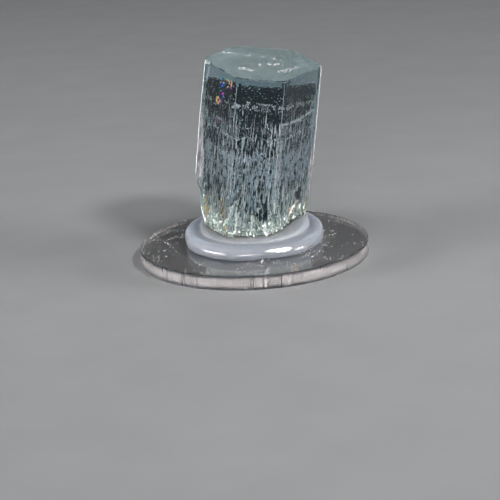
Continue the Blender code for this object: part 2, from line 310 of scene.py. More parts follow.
def face_relief(face, place, height, width):
    """Depth of the surface under the ideal plane of a prism face."""
    across = place * width
    calm = 0.35 + 0.65 * (1.0 - min(1.0, max(0.0, (height - CAP_START) / (3.0 * MM))))
    fine = 0.5 + 0.5 * worn(face * 0.31 + across * 2.6, height * 0.02, face * 0.17, 1.0)
    finer = 0.5 + 0.5 * worn(face * 0.57 + across * 6.5, height * 0.05, face * 0.29, 1.0)
    depth = FINE_GROOVE * (fine + 0.5 * finer) * calm
    for start, end, deep, end_height in BANDS[face]:
        if start < place < end and height < end_height:
            depth += deep * calm
    rough = max(0.0, 1.0 - height / ROUGH_TOP)
    if rough > 0.0:
        x = face * 0.05 + across
        wave = 0.5 + 0.5 * worn(x, height, face * 0.01, 0.55)
        grain = 0.5 + 0.5 * worn(x, height, face * 0.01, 1.7)
        depth += rough * ROUGH_DEPTH * (0.7 * wave + 0.3 * grain)
    return depth + chip_depth(face, place, height, width)


def edge_relief(point, width):
    """Depth of the surface under a cut edge: the wider the cut, the more it is broken."""
    broken = min(1.0, width / EDGE_BREAK_WIDTH)
    broken *= min(1.0, max(0.0, (CRYSTAL_LENGTH - point.z) / EDGE_CALM_HEIGHT))
    wave = 0.5 + 0.5 * worn(point.x, point.y, point.z * 0.5, 0.45)
    grain = 0.5 + 0.5 * worn(point.x, point.y, point.z * 0.4, 1.6)
    return EDGE_BREAK_DEPTH * broken * (0.7 * wave + 0.3 * grain)


# %% [markdown]
# ## Crystal body
#
# The body is a loft of about a hundred rings. The lowest follow the level break and the upper ones
# turn square to the prism. The top is filled with shrinking rings, so that it can carry small pits,
# and its rim is broken into tiny irregular chips as a crystal's rim is.

# %% Crystal body
RING_STEP = 0.4 * MM
EDGE_COLUMNS = 8
SETTLING_PASSES = 5
RIM_BREAK = 0.12 * MM
TOP_HEIGHT = CRYSTAL_LENGTH - 0.02 * MM
TOP_RINGS = 10
FOOT_RINGS = (0.25, 0.5, 0.75)


def settled_face(face, share):
    """Flat points across a face where the ring crosses it, with their heights and the face's width."""
    places = np.linspace(0.0, 1.0, FACE_COLUMNS + 1)
    heights = np.array([share * CRYSTAL_LENGTH])
    for _ in range(SETTLING_PASSES):
        start, end = face_ends(face, heights)
        flat = start + (end - start) * places[:, None]
        low = foot_height(flat[:, 0], flat[:, 1])
        heights = low + share * (CRYSTAL_LENGTH - low)
    return places, flat, heights, np.linalg.norm(end - start, axis=-1)


def crystal_ring(nominal):
    """One ring of points round the crystal; nominal runs from 0 at the foot to the length."""
    sides = [settled_face(face, nominal / CRYSTAL_LENGTH) for face in range(6)]
    ring = []
    for face, (places, flat, heights, width) in enumerate(sides):
        for k, place in enumerate(places):
            inner = 0.0 < place < 1.0
            depth = face_relief(face, place, heights[k], width[k]) if inner else 0.0
            x, y = flat[k] - NORMALS[face] * depth
            ring.append(Vector((x, y, heights[k])))
        _, next_flat, next_heights, _ = sides[(face + 1) % 6]
        end = Vector((*flat[-1], heights[-1]))
        start = Vector((*next_flat[0], next_heights[0]))
        span = start - end
        inward = Vector((-span.y, span.x, 0.0)).normalized()
        for k in range(1, EDGE_COLUMNS):
            point = end.lerp(start, k / EDGE_COLUMNS)
            ring.append(point + inward * edge_relief(point, span.length))
    return ring


def top_pits():
    """Small etch pits in the flat top: place, radius and depth."""
    random = Random(8)
    pits = [(Vector((5.5, 0.6)), 0.35, 0.10), (Vector((7.1, -2.9)), 0.28, 0.08)]
    for _ in range(26):
        place = Vector((random.uniform(-10.0, 10.0), random.uniform(-10.0, 10.0)))
        pits.append((place, random.uniform(0.12, 0.4), random.uniform(0.01, 0.05)))
    return pits


def build_crystal():
    rim_random = Random(5)
    rings = [crystal_ring(n) for n in np.arange(0.0, CRYSTAL_LENGTH - 0.5 * MM, RING_STEP)]
    rings.append(crystal_ring(CRYSTAL_LENGTH - RIM_BREAK))
    rim = []
    for i, point in enumerate(crystal_ring(CRYSTAL_LENGTH)):
        chip = max(0.0, noise.noise(Vector((i * 0.21, 4.0, 0.0)))) * 2.2
        inset = RIM_BREAK * (1.0 + chip + rim_random.uniform(0.0, 0.4))
        flat = Vector((point.x, point.y))
        flat *= 1.0 - inset / flat.length
        rim.append(Vector((flat.x, flat.y, TOP_HEIGHT)))
    rings.append(rim)
    pits = top_pits()
    for k in range(1, TOP_RINGS):
        shrink = 1.0 - k / TOP_RINGS
        ring = []
        for point in rim:
            x, y = point.x * shrink, point.y * shrink
            depth = 0.0
            for place, radius, deep in pits:
                away = math.hypot(x / MM - place.x, y / MM - place.y) / radius
                depth = max(depth, deep * MM * (1.0 - away))
            ring.append(Vector((x, y, TOP_HEIGHT - depth)))
        rings.append(ring)
    foot = []
    for share in FOOT_RINGS:
        ring = []
        for point in rings[0]:
            x, y = point.x * share, point.y * share
            lift = 0.5 + 0.45 * worn(x, y, 0.0, 0.35) + 0.2 * worn(x, y, 0.0, 1.1)
            ring.append(Vector((x, y, foot_height(x, y) + lift * MM)))
        foot.append(ring)
    bm = bmesh.new()
    made = add_rings(bm, foot + rings)
    bm.faces.new(reversed(made[0]))
    bm.faces.new(made[-1])
    return mesh_object("crystal", bm, TO_WORLD)


crystal = build_crystal()
print("crystal:", len(crystal.data.polygons), "faces")


# %% [markdown]
# ## Putty
#
# The mounting putty is a soft silicone mass that was rolled into a ring, pressed flat on the disc
# and pinched up round the broken foot of the crystal. It is one closed skin: from the contact with
# the disc out over the fat rim, in to a crease, up the collar, and down inside along the crystal.
# A loft of ovals makes the outside and the prism's own section makes the inside.

# %% Putty
PUTTY_COLUMNS = 180
SOCKET_BITE = 0.03 * MM
SOCKET_FLOOR = 1.6 * MM
DISC_BITE = 0.04 * MM
LIP_RISE = 0.5 * MM
# A thumb left one flat on the shoulder: where it is, which way it faces, and how far it is set in.
# It faces so that it mirrors the key box towards the camera as one white patch.
THUMB_PLACE = Vector((3.9 * MM, -14.2 * MM, 5.1 * MM))
THUMB_BEARING = math.radians(-73.6)
THUMB_TILT = math.radians(31.0)
THUMB_PRESS = 0.15 * MM
THUMB_LOWEST = 1.0 * MM
THUMB_FACING = Vector((
    math.cos(THUMB_BEARING) * math.cos(THUMB_TILT),
    math.sin(THUMB_BEARING) * math.cos(THUMB_TILT),
    math.sin(THUMB_TILT),
))


# Profiles of the skin, from the bottom up: inset in millimetres and share of the step's height.
RIM_PROFILE = (
    (0.60, 0.0), (0.22, 0.06), (0.03, 0.22), (0.0, 0.42), (0.03, 0.52), (0.10, 0.62), (0.22, 0.72),
    (0.38, 0.80), (0.60, 0.87), (0.85, 0.93), (1.50, 1.0),
)
COLLAR_PROFILE = ((0.04, 0.15), (0.10, 0.45), (0.26, 0.75), (0.60, 0.93), (1.10, 1.0))
RIM_INSET = 0.3 * MM
LUMP_RADIUS = 12.0 * MM
BROAD_LUMP = 0.35 * MM
SMALL_LUMP = 0.08 * MM


def bearing(angle, middle, sharpness=1.0):
    """A smooth hump of height 1 at one bearing, falling to 0 opposite."""
    return (0.5 + 0.5 * math.cos(angle - middle)) ** sharpness


def oval(angle, centre, half_width, half_depth, inset=0.0):
    """A point on a slightly squared oval round a centre."""
    power = 0.92
    c, s = math.cos(angle), math.sin(angle)
    x = math.copysign(abs(c) ** power, c) * (half_width - inset)
    y = math.copysign(abs(s) ** power, s) * (half_depth - inset)
    return centre[0] + x, centre[1] + y


def putty_heights(angle):
    """Height of the outer rim and of the collar above the disc, at one bearing."""
    rim = PUTTY_RIM_HEIGHT + PUTTY_RIM_SWELL * bearing(angle, PUTTY_SWELL_BEARING)
    collar = COLLAR_HEIGHT + COLLAR_RISE * bearing(angle, COLLAR_RISE_BEARING)
    return rim, collar


crystal_skin = BVHTree.FromPolygons(
    [v.co for v in crystal.data.vertices], [tuple(p.vertices) for p in crystal.data.polygons]
)


def crystal_side(angle, z):
    """Where the crystal's side is, at one bearing from the collar's centre and one height."""
    way = Vector((math.cos(angle), math.sin(angle), 0.0))
    axis = Vector((*COLLAR_CENTRE, z))
    hit = crystal_skin.ray_cast(axis + way * PUTTY_HALF_DEPTH, -way)[0]
    return hit - way * SOCKET_BITE


def putty_column(angle):
    """Points of the putty's skin at one bearing, from the contact with the disc to the socket."""
    rim, collar = putty_heights(angle)
    base = DISC_THICKNESS
    lump_x, lump_y = math.cos(angle) * LUMP_RADIUS, math.sin(angle) * LUMP_RADIUS
    lump = worn(lump_x, lump_y, 0.0, 0.16) * BROAD_LUMP
    lump += worn(lump_x, lump_y, 9.0 * MM, 0.5) * SMALL_LUMP
    profile = []
    for inset, share in RIM_PROFILE:
        set_in = inset * MM + RIM_INSET - lump
        x, y = oval(angle, PUTTY_CENTRE, PUTTY_HALF_WIDTH, PUTTY_HALF_DEPTH, set_in)
        profile.append(Vector((x, y, base - DISC_BITE + rim * share)))
    for point in profile:
        over = (point - THUMB_PLACE).dot(THUMB_FACING) + THUMB_PRESS
        if over > 0.0 and point.z > base + THUMB_LOWEST:
            point -= THUMB_FACING * over
    crease = oval(angle, COLLAR_CENTRE, COLLAR_HALF_WIDTH, COLLAR_HALF_DEPTH, -0.25 * MM)
    last = profile[-1]
    for share, sink in ((0.35, -0.02), (0.7, 0.0), (1.0, 0.07)):
        x = last.x + (crease[0] - last.x) * share
        y = last.y + (crease[1] - last.y) * share
        profile.append(Vector((x, y, base + rim - sink * MM)))
    foot = profile[-1].z - base
    for inset, share in COLLAR_PROFILE:
        x, y = oval(angle, COLLAR_CENTRE, COLLAR_HALF_WIDTH, COLLAR_HALF_DEPTH, inset * MM)
        profile.append(Vector((x, y, base + foot + (max(collar, foot) - foot) * share)))
    top = profile[-1].z
    lip = crystal_side(angle, top + LIP_RISE)
    for share, lift in ((0.4, 0.22), (0.6, 0.55)):
        mid = profile[-1].lerp(lip, share)
        profile.append(Vector((mid.x, mid.y, top + lift * LIP_RISE)))
    floor = base + SOCKET_FLOOR
    for share in (0.0, 0.2, 0.4, 0.6, 0.8, 1.0):
        profile.append(crystal_side(angle, lip.z + (floor - lip.z) * share))
    centre = Vector((*COLLAR_CENTRE, floor))
    profile.append(profile[-1].lerp(centre, 0.1) - Vector((0.0, 0.0, 0.5 * MM)))
    return profile


def build_putty():
    angles = [math.tau * i / PUTTY_COLUMNS for i in range(PUTTY_COLUMNS)]
    columns = [putty_column(angle) for angle in angles]
    rings = [list(ring) for ring in zip(*columns)]
    bm = bmesh.new()
    made = add_rings(bm, rings)
    bm.faces.new(reversed(made[0]))
    bm.faces.new(made[-1])
    item = mesh_object("putty", bm)
    item.data.shade_smooth()
    return item


putty = build_putty()
print("putty:", len(putty.data.polygons), "faces")

# %% [markdown]
# ## Disc
#
# The base is sawn from clear acrylic sheet. Its rim keeps the upright lines of the saw, and its two
# edges are broken by a hair. A loft of many-sided rings carries the lines as real relief.

# %% Disc
DISC_COLUMNS = 432
SAW_LINE = 0.012 * MM
DISC_EDGE_BREAK = 0.15 * MM


def build_disc():
    random = Random(31)
    lines = [random.uniform(0.0, 1.0) * SAW_LINE for _ in range(DISC_COLUMNS)]
    levels = (
        (DISC_RADIUS - 3.0 * DISC_EDGE_BREAK, 0.0, 0.0),
        (DISC_RADIUS - DISC_EDGE_BREAK, 0.0, 0.3),
        (DISC_RADIUS, DISC_EDGE_BREAK, 1.0),
        (DISC_RADIUS, DISC_THICKNESS * 0.5, 1.0),
        (DISC_RADIUS, DISC_THICKNESS - DISC_EDGE_BREAK, 1.0),
        (DISC_RADIUS - DISC_EDGE_BREAK, DISC_THICKNESS, 0.3),
        (DISC_RADIUS - 3.0 * DISC_EDGE_BREAK, DISC_THICKNESS, 0.0),
    )
    rings = []
    for radius, z, share in levels:
        ring = []
        for i, line in enumerate(lines):
            angle = math.tau * i / DISC_COLUMNS
            reach = radius - line * share
            ring.append(Vector((reach * math.cos(angle), reach * math.sin(angle), z)))
        rings.append(ring)
    bm = bmesh.new()
    made = add_rings(bm, rings)
    bm.faces.new(reversed(made[0]))
    bm.faces.new(made[-1])
    return mesh_object("disc", bm)


disc = build_disc()
print("disc:", len(disc.data.polygons), "faces")


# %% [markdown]
# ## Helpers for materials
#
# Materials are built from nodes. All crystal patterns read the place in millimetres in the prism's
# own frame, so that striations run along the crystal and not along the vertical.

# %% Node helpers
def add_node(tree, kind, inputs=None, **settings):
    """Add a node, set its options, then its inputs by value or by link."""
    item = tree.nodes.new(kind)
    for key, value in settings.items():
        setattr(item, key, value)
    for key, value in (inputs or {}).items():
        if isinstance(value, bpy.types.NodeSocket):
            tree.links.new(value, item.inputs[key])
        else:
            item.inputs[key].default_value = value
    return item


def new_material(name):
    """A material with a Principled shader; returns the material, its tree, shader and output."""
    material = bpy.data.materials.new(name)
    material.use_nodes = True
    tree = material.node_tree
    tree.nodes.clear()
    shader = add_node(tree, "ShaderNodeBsdfPrincipled")
    output = add_node(tree, "ShaderNodeOutputMaterial", {"Surface": shader.outputs[0]})
    return material, tree, shader, output


def place_in_mm(tree, matrix=None):
    """Place on the piece in millimetres, in the frame that the matrix puts in the world."""
    inverse = (matrix or Matrix.Identity(4)).inverted()
    source = add_node(tree, "ShaderNodeTexCoord")
    mapping = add_node(tree, "ShaderNodeMapping", {
        "Vector": source.outputs["Object"],
        "Location": inverse.translation / MM,
        "Rotation": inverse.to_euler(),
        "Scale": (1.0 / MM, 1.0 / MM, 1.0 / MM),
    })
    return mapping.outputs[0]


def noise_of(tree, vector, scale, detail=2.0, stretch=None):
    """Noise from 0 to 1, with the place scaled by stretch first."""
    if stretch:
        scaled = add_node(tree, "ShaderNodeVectorMath", {0: vector, 1: stretch}, operation="MULTIPLY")
        vector = scaled.outputs[0]
    made = add_node(tree, "ShaderNodeTexNoise", {"Vector": vector, "Scale": scale, "Detail": detail})
    return made.outputs[0]


def ranged(tree, value, low, high, to_low=0.0, to_high=1.0):
    """A value mapped from one range to another, clamped."""
    made = add_node(tree, "ShaderNodeMapRange", {
        "Value": value, "From Min": low, "From Max": high, "To Min": to_low, "To Max": to_high,
    })
    return made.outputs[0]


def maths(tree, operation, first, second):
    return add_node(tree, "ShaderNodeMath", {0: first, 1: second}, operation=operation).outputs[0]


def colours(tree, value, stops):
    """A colour ramp from pairs of position and linear colour."""
    made = add_node(tree, "ShaderNodeValToRGB", {"Fac": value})
    ramp = made.color_ramp
    while len(ramp.elements) < len(stops):
        ramp.elements.new(0.5)
    for element, (position, colour) in zip(ramp.elements, stops):
        element.position = position
        element.color = (*colour, 1.0)
    return made.outputs[0]


def bump(tree, height, distance, strength=1.0):
    made = add_node(tree, "ShaderNodeBump", {
        "Height": height, "Distance": distance, "Strength": strength,
    })
    return made.outputs[0]


print("node helpers ready")

# %% [markdown]
# ## Aquamarine
#
# Beryl bends light with an index of 1.577. Its blue is the light it takes away over a long path,
# so the colour belongs in the volume, as absorption, and not on the surface. The prism faces are
# polished by growth with fine lengthwise lines; the end face is etched and slightly frosted; the
# broken foot is rough.

# %% Aquamarine material
BERYL_IOR = 1.577
BERYL_TINT = (0.12, 0.52, 0.64)
BERYL_DENSITY = 40.0
aquamarine, tree, shader, output = new_material("aquamarine_beryl")
place = place_in_mm(tree, TO_WORLD)
height = add_node(tree, "ShaderNodeSeparateXYZ", {0: place}).outputs[2]
lines = noise_of(tree, place, 2.4, 4.0, (1.0, 1.0, 0.03))
grain = noise_of(tree, place, 1.9, 4.0)
cloud = noise_of(tree, place, 0.35, 2.0)
foot_wear = ranged(tree, height, 10.0, 1.0)
end_frost = ranged(tree, height, 38.72, 38.78)
face_rough = ranged(tree, lines, 0.3, 0.7, 0.015, 0.05)
foot_rough = maths(tree, "MULTIPLY", foot_wear, ranged(tree, grain, 0.3, 0.7, 0.16, 0.42))
end_rough = maths(tree, "MULTIPLY", end_frost, ranged(tree, cloud, 0.3, 0.7, 0.15, 0.22))
roughness = maths(tree, "ADD", maths(tree, "ADD", face_rough, foot_rough), end_rough)
tree.links.new(roughness, shader.inputs["Roughness"])
relief = maths(tree, "ADD", lines, maths(tree, "MULTIPLY", grain, maths(tree, "MULTIPLY", foot_wear, 2.5)))
tree.links.new(bump(tree, relief, 0.02 * MM, 0.6), shader.inputs["Normal"])
tint = colours(tree, cloud, ((0.3, (0.93, 0.98, 0.98)), (0.7, (1.0, 1.0, 1.0))))
tree.links.new(tint, shader.inputs["Base Color"])
shader.inputs["IOR"].default_value = BERYL_IOR
shader.inputs["Transmission Weight"].default_value = 1.0
absorption = add_node(tree, "ShaderNodeVolumeAbsorption", {
    "Color": (*BERYL_TINT, 1.0), "Density": BERYL_DENSITY,
})
tree.links.new(absorption.outputs[0], output.inputs["Volume"])
crystal.data.materials.append(aquamarine)
print("a ray keeps", [round(math.exp(-BERYL_DENSITY * (1.0 - c) * 0.025), 2) for c in BERYL_TINT],
      "of its light over 25 mm")

# %% [markdown]
# ## Putty and acrylic
#
# The putty is milky: light goes a few millimetres into it and comes out again, which is what
# subsurface scattering does. Handling leaves it glossy with faint lumps. The acrylic is clear, with
# a polished top that has picked up scratches, and a rim that the saw left matt with upright lines.

# %% Putty material
# The putty's base colour carries painted shade: darker on the low flank, lighter on the rim's top and darker
# again up the collar, to even out how the lamps light it.
PUTTY_FLANK_PAINTED_SHADE = 0.38
PUTTY_TOP_PAINTED_SHADE = 0.82
PUTTY_COLLAR_PAINTED_SHADE = 0.72
milky_putty, tree, shader, output = new_material("milky_silicone")
place = place_in_mm(tree)
lumps = noise_of(tree, place, 0.45, 3.0)
skin = noise_of(tree, place, 3.0, 3.0)
tint = colours(tree, lumps, ((0.3, (0.31, 0.33, 0.37)), (0.7, (0.36, 0.375, 0.41))))
height = add_node(tree, "ShaderNodeSeparateXYZ", {0: place}).outputs[2]
# Painted shade by height: the flank is darkened where the low lamps light it most, and the collar is
# darkened as well.
painted_shade_tone = ranged(tree, height, 4.6, 6.0, PUTTY_FLANK_PAINTED_SHADE, PUTTY_TOP_PAINTED_SHADE)
painted_shade_tone = maths(tree, "MULTIPLY", painted_shade_tone, ranged(tree, height, 6.1, 7.2, 1.0, PUTTY_COLLAR_PAINTED_SHADE))
tint = add_node(tree, "ShaderNodeVectorMath", {0: tint, "Scale": painted_shade_tone}, operation="SCALE").outputs[0]
tree.links.new(tint, shader.inputs["Base Color"])
tree.links.new(ranged(tree, skin, 0.3, 0.7, 0.35, 0.55), shader.inputs["Roughness"])
relief = maths(tree, "ADD", lumps, maths(tree, "MULTIPLY", skin, 0.05))
tree.links.new(bump(tree, relief, 0.2 * MM, 0.4), shader.inputs["Normal"])
shader.inputs["Subsurface Weight"].default_value = 1.0
shader.inputs["Subsurface Radius"].default_value = (0.9, 1.0, 1.2)
shader.inputs["Subsurface Scale"].default_value = 10.0 * MM
shader.inputs["IOR"].default_value = 1.41
shader.inputs["Specular IOR Level"].default_value = 0.2
shader.inputs["Coat Weight"].default_value = 0.6
shader.inputs["Coat Roughness"].default_value = 0.05
putty.data.materials.append(milky_putty)
print("putty finish:", milky_putty.name)

# %% Acrylic material
ACRYLIC_IOR = 1.49
clear_acrylic, tree, shader, output = new_material("sawn_acrylic")
place = place_in_mm(tree)
level = add_node(tree, "ShaderNodeVectorMath", {0: place, 1: (1.0, 1.0, 0.0)}, operation="MULTIPLY")
radius = add_node(tree, "ShaderNodeVectorMath", {0: level.outputs[0]}, operation="LENGTH").outputs["Value"]
rim = ranged(tree, radius, 25.20, 25.28)
saw = noise_of(tree, place, 1.3, 4.0, (1.0, 1.0, 0.04))
smear = noise_of(tree, place, 0.12, 4.0)
scratches = noise_of(tree, place, 0.9, 5.0, (0.15, 1.6, 1.0))
top_rough = ranged(tree, smear, 0.45, 0.7, 0.015, 0.07)
rim_rough = maths(tree, "MULTIPLY", rim, ranged(tree, saw, 0.3, 0.7, 0.22, 0.38))
tree.links.new(maths(tree, "ADD", top_rough, rim_rough), shader.inputs["Roughness"])
relief = maths(tree, "ADD", maths(tree, "MULTIPLY", saw, rim), maths(tree, "MULTIPLY", scratches, 0.06))
tree.links.new(bump(tree, relief, 0.05 * MM, 0.6), shader.inputs["Normal"])
tint = colours(tree, smear, ((0.3, (0.97, 0.96, 0.96)), (0.7, (1.0, 1.0, 1.0))))
tree.links.new(tint, shader.inputs["Base Color"])
shader.inputs["IOR"].default_value = ACRYLIC_IOR
shader.inputs["Transmission Weight"].default_value = 1.0
absorption = add_node(tree, "ShaderNodeVolumeAbsorption", {
    "Color": (0.80, 0.74, 0.74, 1.0), "Density": 12.0,
})
tree.links.new(absorption.outputs[0], output.inputs["Volume"])
disc.data.materials.append(clear_acrylic)
print("disc finish:", clear_acrylic.name)

# %% [markdown]
# ## What lies inside the crystal
#
# Below the clear cap the crystal is crowded with growth tubes: hollow needles along its length that
# scatter light and read as pale rain. Nobody could place thousands of them one by one, so Geometry
# Nodes scatter points through the prism's volume, thin them by height and by clusters, drop those
# that come too near the surface, and put a spindle of a few faces on each that stays.

# %% Inputs of the trees
SPINDLE_SOCKETS = (
    ("Crystal", "NodeSocketObject", None),
    ("Seed", "NodeSocketInt", 1),
    ("Thinnest", "NodeSocketFloat", 0.1 * MM),
    ("Thickest", "NodeSocketFloat", 0.2 * MM),
    ("Shortest", "NodeSocketFloat", 0.5 * MM),
    ("Longest", "NodeSocketFloat", 3.0 * MM),
    ("Tilt", "NodeSocketFloat", 0.03),
    ("Clearance", "NodeSocketFloat", 0.1 * MM),
    ("Deepest", "NodeSocketFloat", 20.0 * MM),
    ("Ceiling", "NodeSocketFloat", 60.0 * MM),
    ("Waviness", "NodeSocketFloat", 0.0),
    ("Foot", "NodeSocketVector", (0.0, 0.0, 0.0)),
    ("Lean", "NodeSocketVector", (0.0, 0.0, 0.0)),
    ("Finish", "NodeSocketMaterial", None),
)
VOLUME_SOCKETS = SPINDLE_SOCKETS + (
    ("Candidates", "NodeSocketInt", 1000),
    ("Half Width", "NodeSocketFloat", 13.5 * MM),
    ("Lowest", "NodeSocketFloat", 0.0),
    ("Highest", "NodeSocketFloat", 36.0 * MM),
    ("Cluster Size", "NodeSocketVector", (1.0, 1.0, 1.0)),
    ("Cluster Cut", "NodeSocketFloat", 0.5),
)
PATH_SOCKETS = SPINDLE_SOCKETS + (
    ("Spacing", "NodeSocketFloat", 0.1 * MM),
    ("Spread", "NodeSocketVector", (0.0, 0.0, 0.0)),
    ("Gaps", "NodeSocketFloat", 0.0),
)
PLAIN_NUMBERS = ("Seed", "Tilt", "Candidates", "Cluster Cut", "Gaps")
WAVE_LENGTH = 2.6 * MM
GAP_LENGTH = 1.1 * MM
STRAY_DEPTH = 0.3 * MM


def new_tree(name, sockets):
    """A Geometry Nodes tree with named inputs; returns the tree and its inputs by name."""
    tree = bpy.data.node_groups.new(name, "GeometryNodeTree")
    tree.interface.new_socket("Geometry", in_out="OUTPUT", socket_type="NodeSocketGeometry")
    tree.interface.new_socket("Geometry", in_out="INPUT", socket_type="NodeSocketGeometry")
    for title, kind, value in sockets:
        socket = tree.interface.new_socket(title, in_out="INPUT", socket_type=kind)
        if value is not None:
            socket.default_value = value
    given = add_node(tree, "NodeGroupInput").outputs
    return tree, given


print(len(VOLUME_SOCKETS), "inputs for a volume and", len(PATH_SOCKETS), "for paths")


# %% Small steps of the trees
def random_between(tree, low, high, seed, offset):
    """A random number for each point; the offset keeps one draw apart from the next."""
    made = add_node(tree, "FunctionNodeRandomValue", data_type="FLOAT")
    tree.links.new(maths(tree, "ADD", seed, float(offset)), made.inputs["Seed"])
    for index, value in ((2, low), (3, high)):
        if isinstance(value, bpy.types.NodeSocket):
            tree.links.new(value, made.inputs[index])
        else:
            made.inputs[index].default_value = value
    return made.outputs[1]


def keep_name(tree, geometry, name, value):
    """Store a number on each point under a name."""
    made = add_node(tree, "GeometryNodeStoreNamedAttribute", {
        "Geometry": geometry, "Name": name, "Value": value,
    }, data_type="FLOAT", domain="POINT")
    return made.outputs[0]


def named(tree, name):
    """Read back a number that was stored under a name."""
    return add_node(tree, "GeometryNodeInputNamedAttribute", {"Name": name}, data_type="FLOAT").outputs[0]


def vector_maths(tree, operation, first, second):
    """Vector maths on two vectors, or on a vector and a number for SCALE."""
    slot = "Scale" if operation == "SCALE" else 1
    made = add_node(tree, "ShaderNodeVectorMath", {0: first, slot: second}, operation=operation)
    return made.outputs["Value" if operation == "DOT_PRODUCT" else "Vector"]


def without(tree, points, selection):
    """Drop the selected points."""
    return add_node(tree, "GeometryNodeDeleteGeometry", {
        "Geometry": points, "Selection": selection,
    }, domain="POINT").outputs[0]


def under_ceiling(tree, given, points):
    """Lower each point until the top of its spindle is under a wavy ceiling."""
    here = add_node(tree, "GeometryNodeInputPosition").outputs[0]
    parts = add_node(tree, "ShaderNodeSeparateXYZ", {0: here}).outputs
    flat = add_node(tree, "ShaderNodeCombineXYZ", {0: parts[0], 1: parts[1]}).outputs[0]
    cell = vector_maths(tree, "SCALE", flat, 1.0 / WAVE_LENGTH)
    wave = add_node(tree, "ShaderNodeTexNoise", {"Vector": cell, "Scale": 1.0, "Detail": 2.0}).outputs[0]
    wave = maths(tree, "MULTIPLY", maths(tree, "SUBTRACT", wave, 0.5), given["Waviness"])
    top = maths(tree, "ADD", given["Ceiling"], wave)
    limit = maths(tree, "SUBTRACT", top, maths(tree, "MULTIPLY", named(tree, "long"), 0.5))
    z = maths(tree, "MINIMUM", parts[2], limit)
    place = add_node(tree, "ShaderNodeCombineXYZ", {0: parts[0], 1: parts[1], 2: z}).outputs[0]
    return add_node(tree, "GeometryNodeSetPosition", {0: points, "Position": place}).outputs[0]


def inside_only(tree, given, points, skin, axis):
    """Keep the points whose spindle lies in the crystal, at both ends and in the middle."""
    here = add_node(tree, "GeometryNodeInputPosition").outputs[0]
    facing = add_node(tree, "GeometryNodeInputNormal").outputs[0]
    # Beside a sharp edge the nearest face can be turned the wrong way. A ray along the crystal is a
    # second opinion: from inside it leaves through the flat end, from outside it meets nothing.
    ray = add_node(tree, "GeometryNodeRaycast", {
        "Target Geometry": skin, "Source Position": here, "Ray Direction": axis, "Ray Length": 0.2,
    })
    leaving = vector_maths(tree, "DOT_PRODUCT", ray.outputs["Hit Normal"], axis)
    outside = maths(tree, "LESS_THAN", leaving, 0.1)
    for share in (-0.5, 0.0, 0.5):
        reach = maths(tree, "MULTIPLY", named(tree, "long"), share)
        end = vector_maths(tree, "ADD", here, vector_maths(tree, "SCALE", axis, reach))
        near = add_node(tree, "GeometryNodeProximity", {"Source Position": end}, target_element="FACES")
        tree.links.new(skin, near.inputs[0])
        outward = add_node(tree, "GeometryNodeSampleNearestSurface", {
            "Mesh": skin, "Value": facing, "Sample Position": end,
        }, data_type="FLOAT_VECTOR").outputs[0]
        away = vector_maths(tree, "SUBTRACT", end, near.outputs["Position"])
        side = maths(tree, "SIGN", vector_maths(tree, "DOT_PRODUCT", away, outward), 0.0)
        depth = maths(tree, "MULTIPLY", side, near.outputs["Distance"])
        shallow = maths(tree, "GREATER_THAN", depth, maths(tree, "MULTIPLY", given["Clearance"], -1.0))
        deep = maths(tree, "LESS_THAN", depth, maths(tree, "MULTIPLY", given["Deepest"], -1.0))
        stray = maths(tree, "MULTIPLY", outside, maths(tree, "LESS_THAN", depth, -STRAY_DEPTH))
        wrong = maths(tree, "MAXIMUM", maths(tree, "MAXIMUM", shallow, deep), stray)
        points = without(tree, points, wrong)
    return points


def spindles_on(tree, given, points):
    """Turn to the crystal's lean, drop points near its surface, and put a spindle on each."""
    seed = given["Seed"]
    long = random_between(tree, given["Shortest"], given["Longest"], seed, 12)
    thick = random_between(tree, given["Thinnest"], given["Thickest"], seed, 13)
    points = keep_name(tree, points, "shade", random_between(tree, 0.0, 1.0, seed, 11))
    points = keep_name(tree, points, "long", long)
    points = keep_name(tree, points, "thick", thick)
    points = under_ceiling(tree, given, points)
    lean = add_node(tree, "FunctionNodeEulerToRotation", {0: given["Lean"]}).outputs[0]
    points = add_node(tree, "GeometryNodeTransform", {
        "Geometry": points, "Translation": given["Foot"], "Rotation": lean,
    }).outputs[0]
    skin = add_node(tree, "GeometryNodeObjectInfo", {"Object": given["Crystal"]}).outputs["Geometry"]
    axis = add_node(tree, "FunctionNodeRotateVector", {0: (0.0, 0.0, 1.0), 1: lean}).outputs[0]
    points = inside_only(tree, given, points, skin, axis)
    tilt_x = maths(tree, "MULTIPLY", given["Tilt"], random_between(tree, -1.0, 1.0, seed, 14))
    tilt_y = maths(tree, "MULTIPLY", given["Tilt"], random_between(tree, -1.0, 1.0, seed, 15))
    spin = random_between(tree, 0.0, math.pi, seed, 16)
    tilt = add_node(tree, "ShaderNodeCombineXYZ", {0: tilt_x, 1: tilt_y, 2: spin}).outputs[0]
    tilt = add_node(tree, "FunctionNodeEulerToRotation", {0: tilt}).outputs[0]
    turn = add_node(tree, "FunctionNodeRotateRotation", {0: lean, 1: tilt}, rotation_space="LOCAL")
    thick = named(tree, "thick")
    size = add_node(tree, "ShaderNodeCombineXYZ", {0: thick, 1: thick, 2: named(tree, "long")}).outputs[0]
    spindle = add_node(tree, "GeometryNodeMeshUVSphere", {"Segments": 4, "Rings": 3, "Radius": 0.5})
    placed = add_node(tree, "GeometryNodeInstanceOnPoints", {
        "Points": points, "Instance": spindle.outputs[0], "Rotation": turn.outputs[0], "Scale": size,
    })
    real = add_node(tree, "GeometryNodeRealizeInstances", {0: placed.outputs[0]})
    painted = add_node(tree, "GeometryNodeSetMaterial", {
        "Geometry": real.outputs[0], "Material": given["Finish"],
    })
    add_node(tree, "NodeGroupOutput", {0: painted.outputs[0]})


print("steps ready")


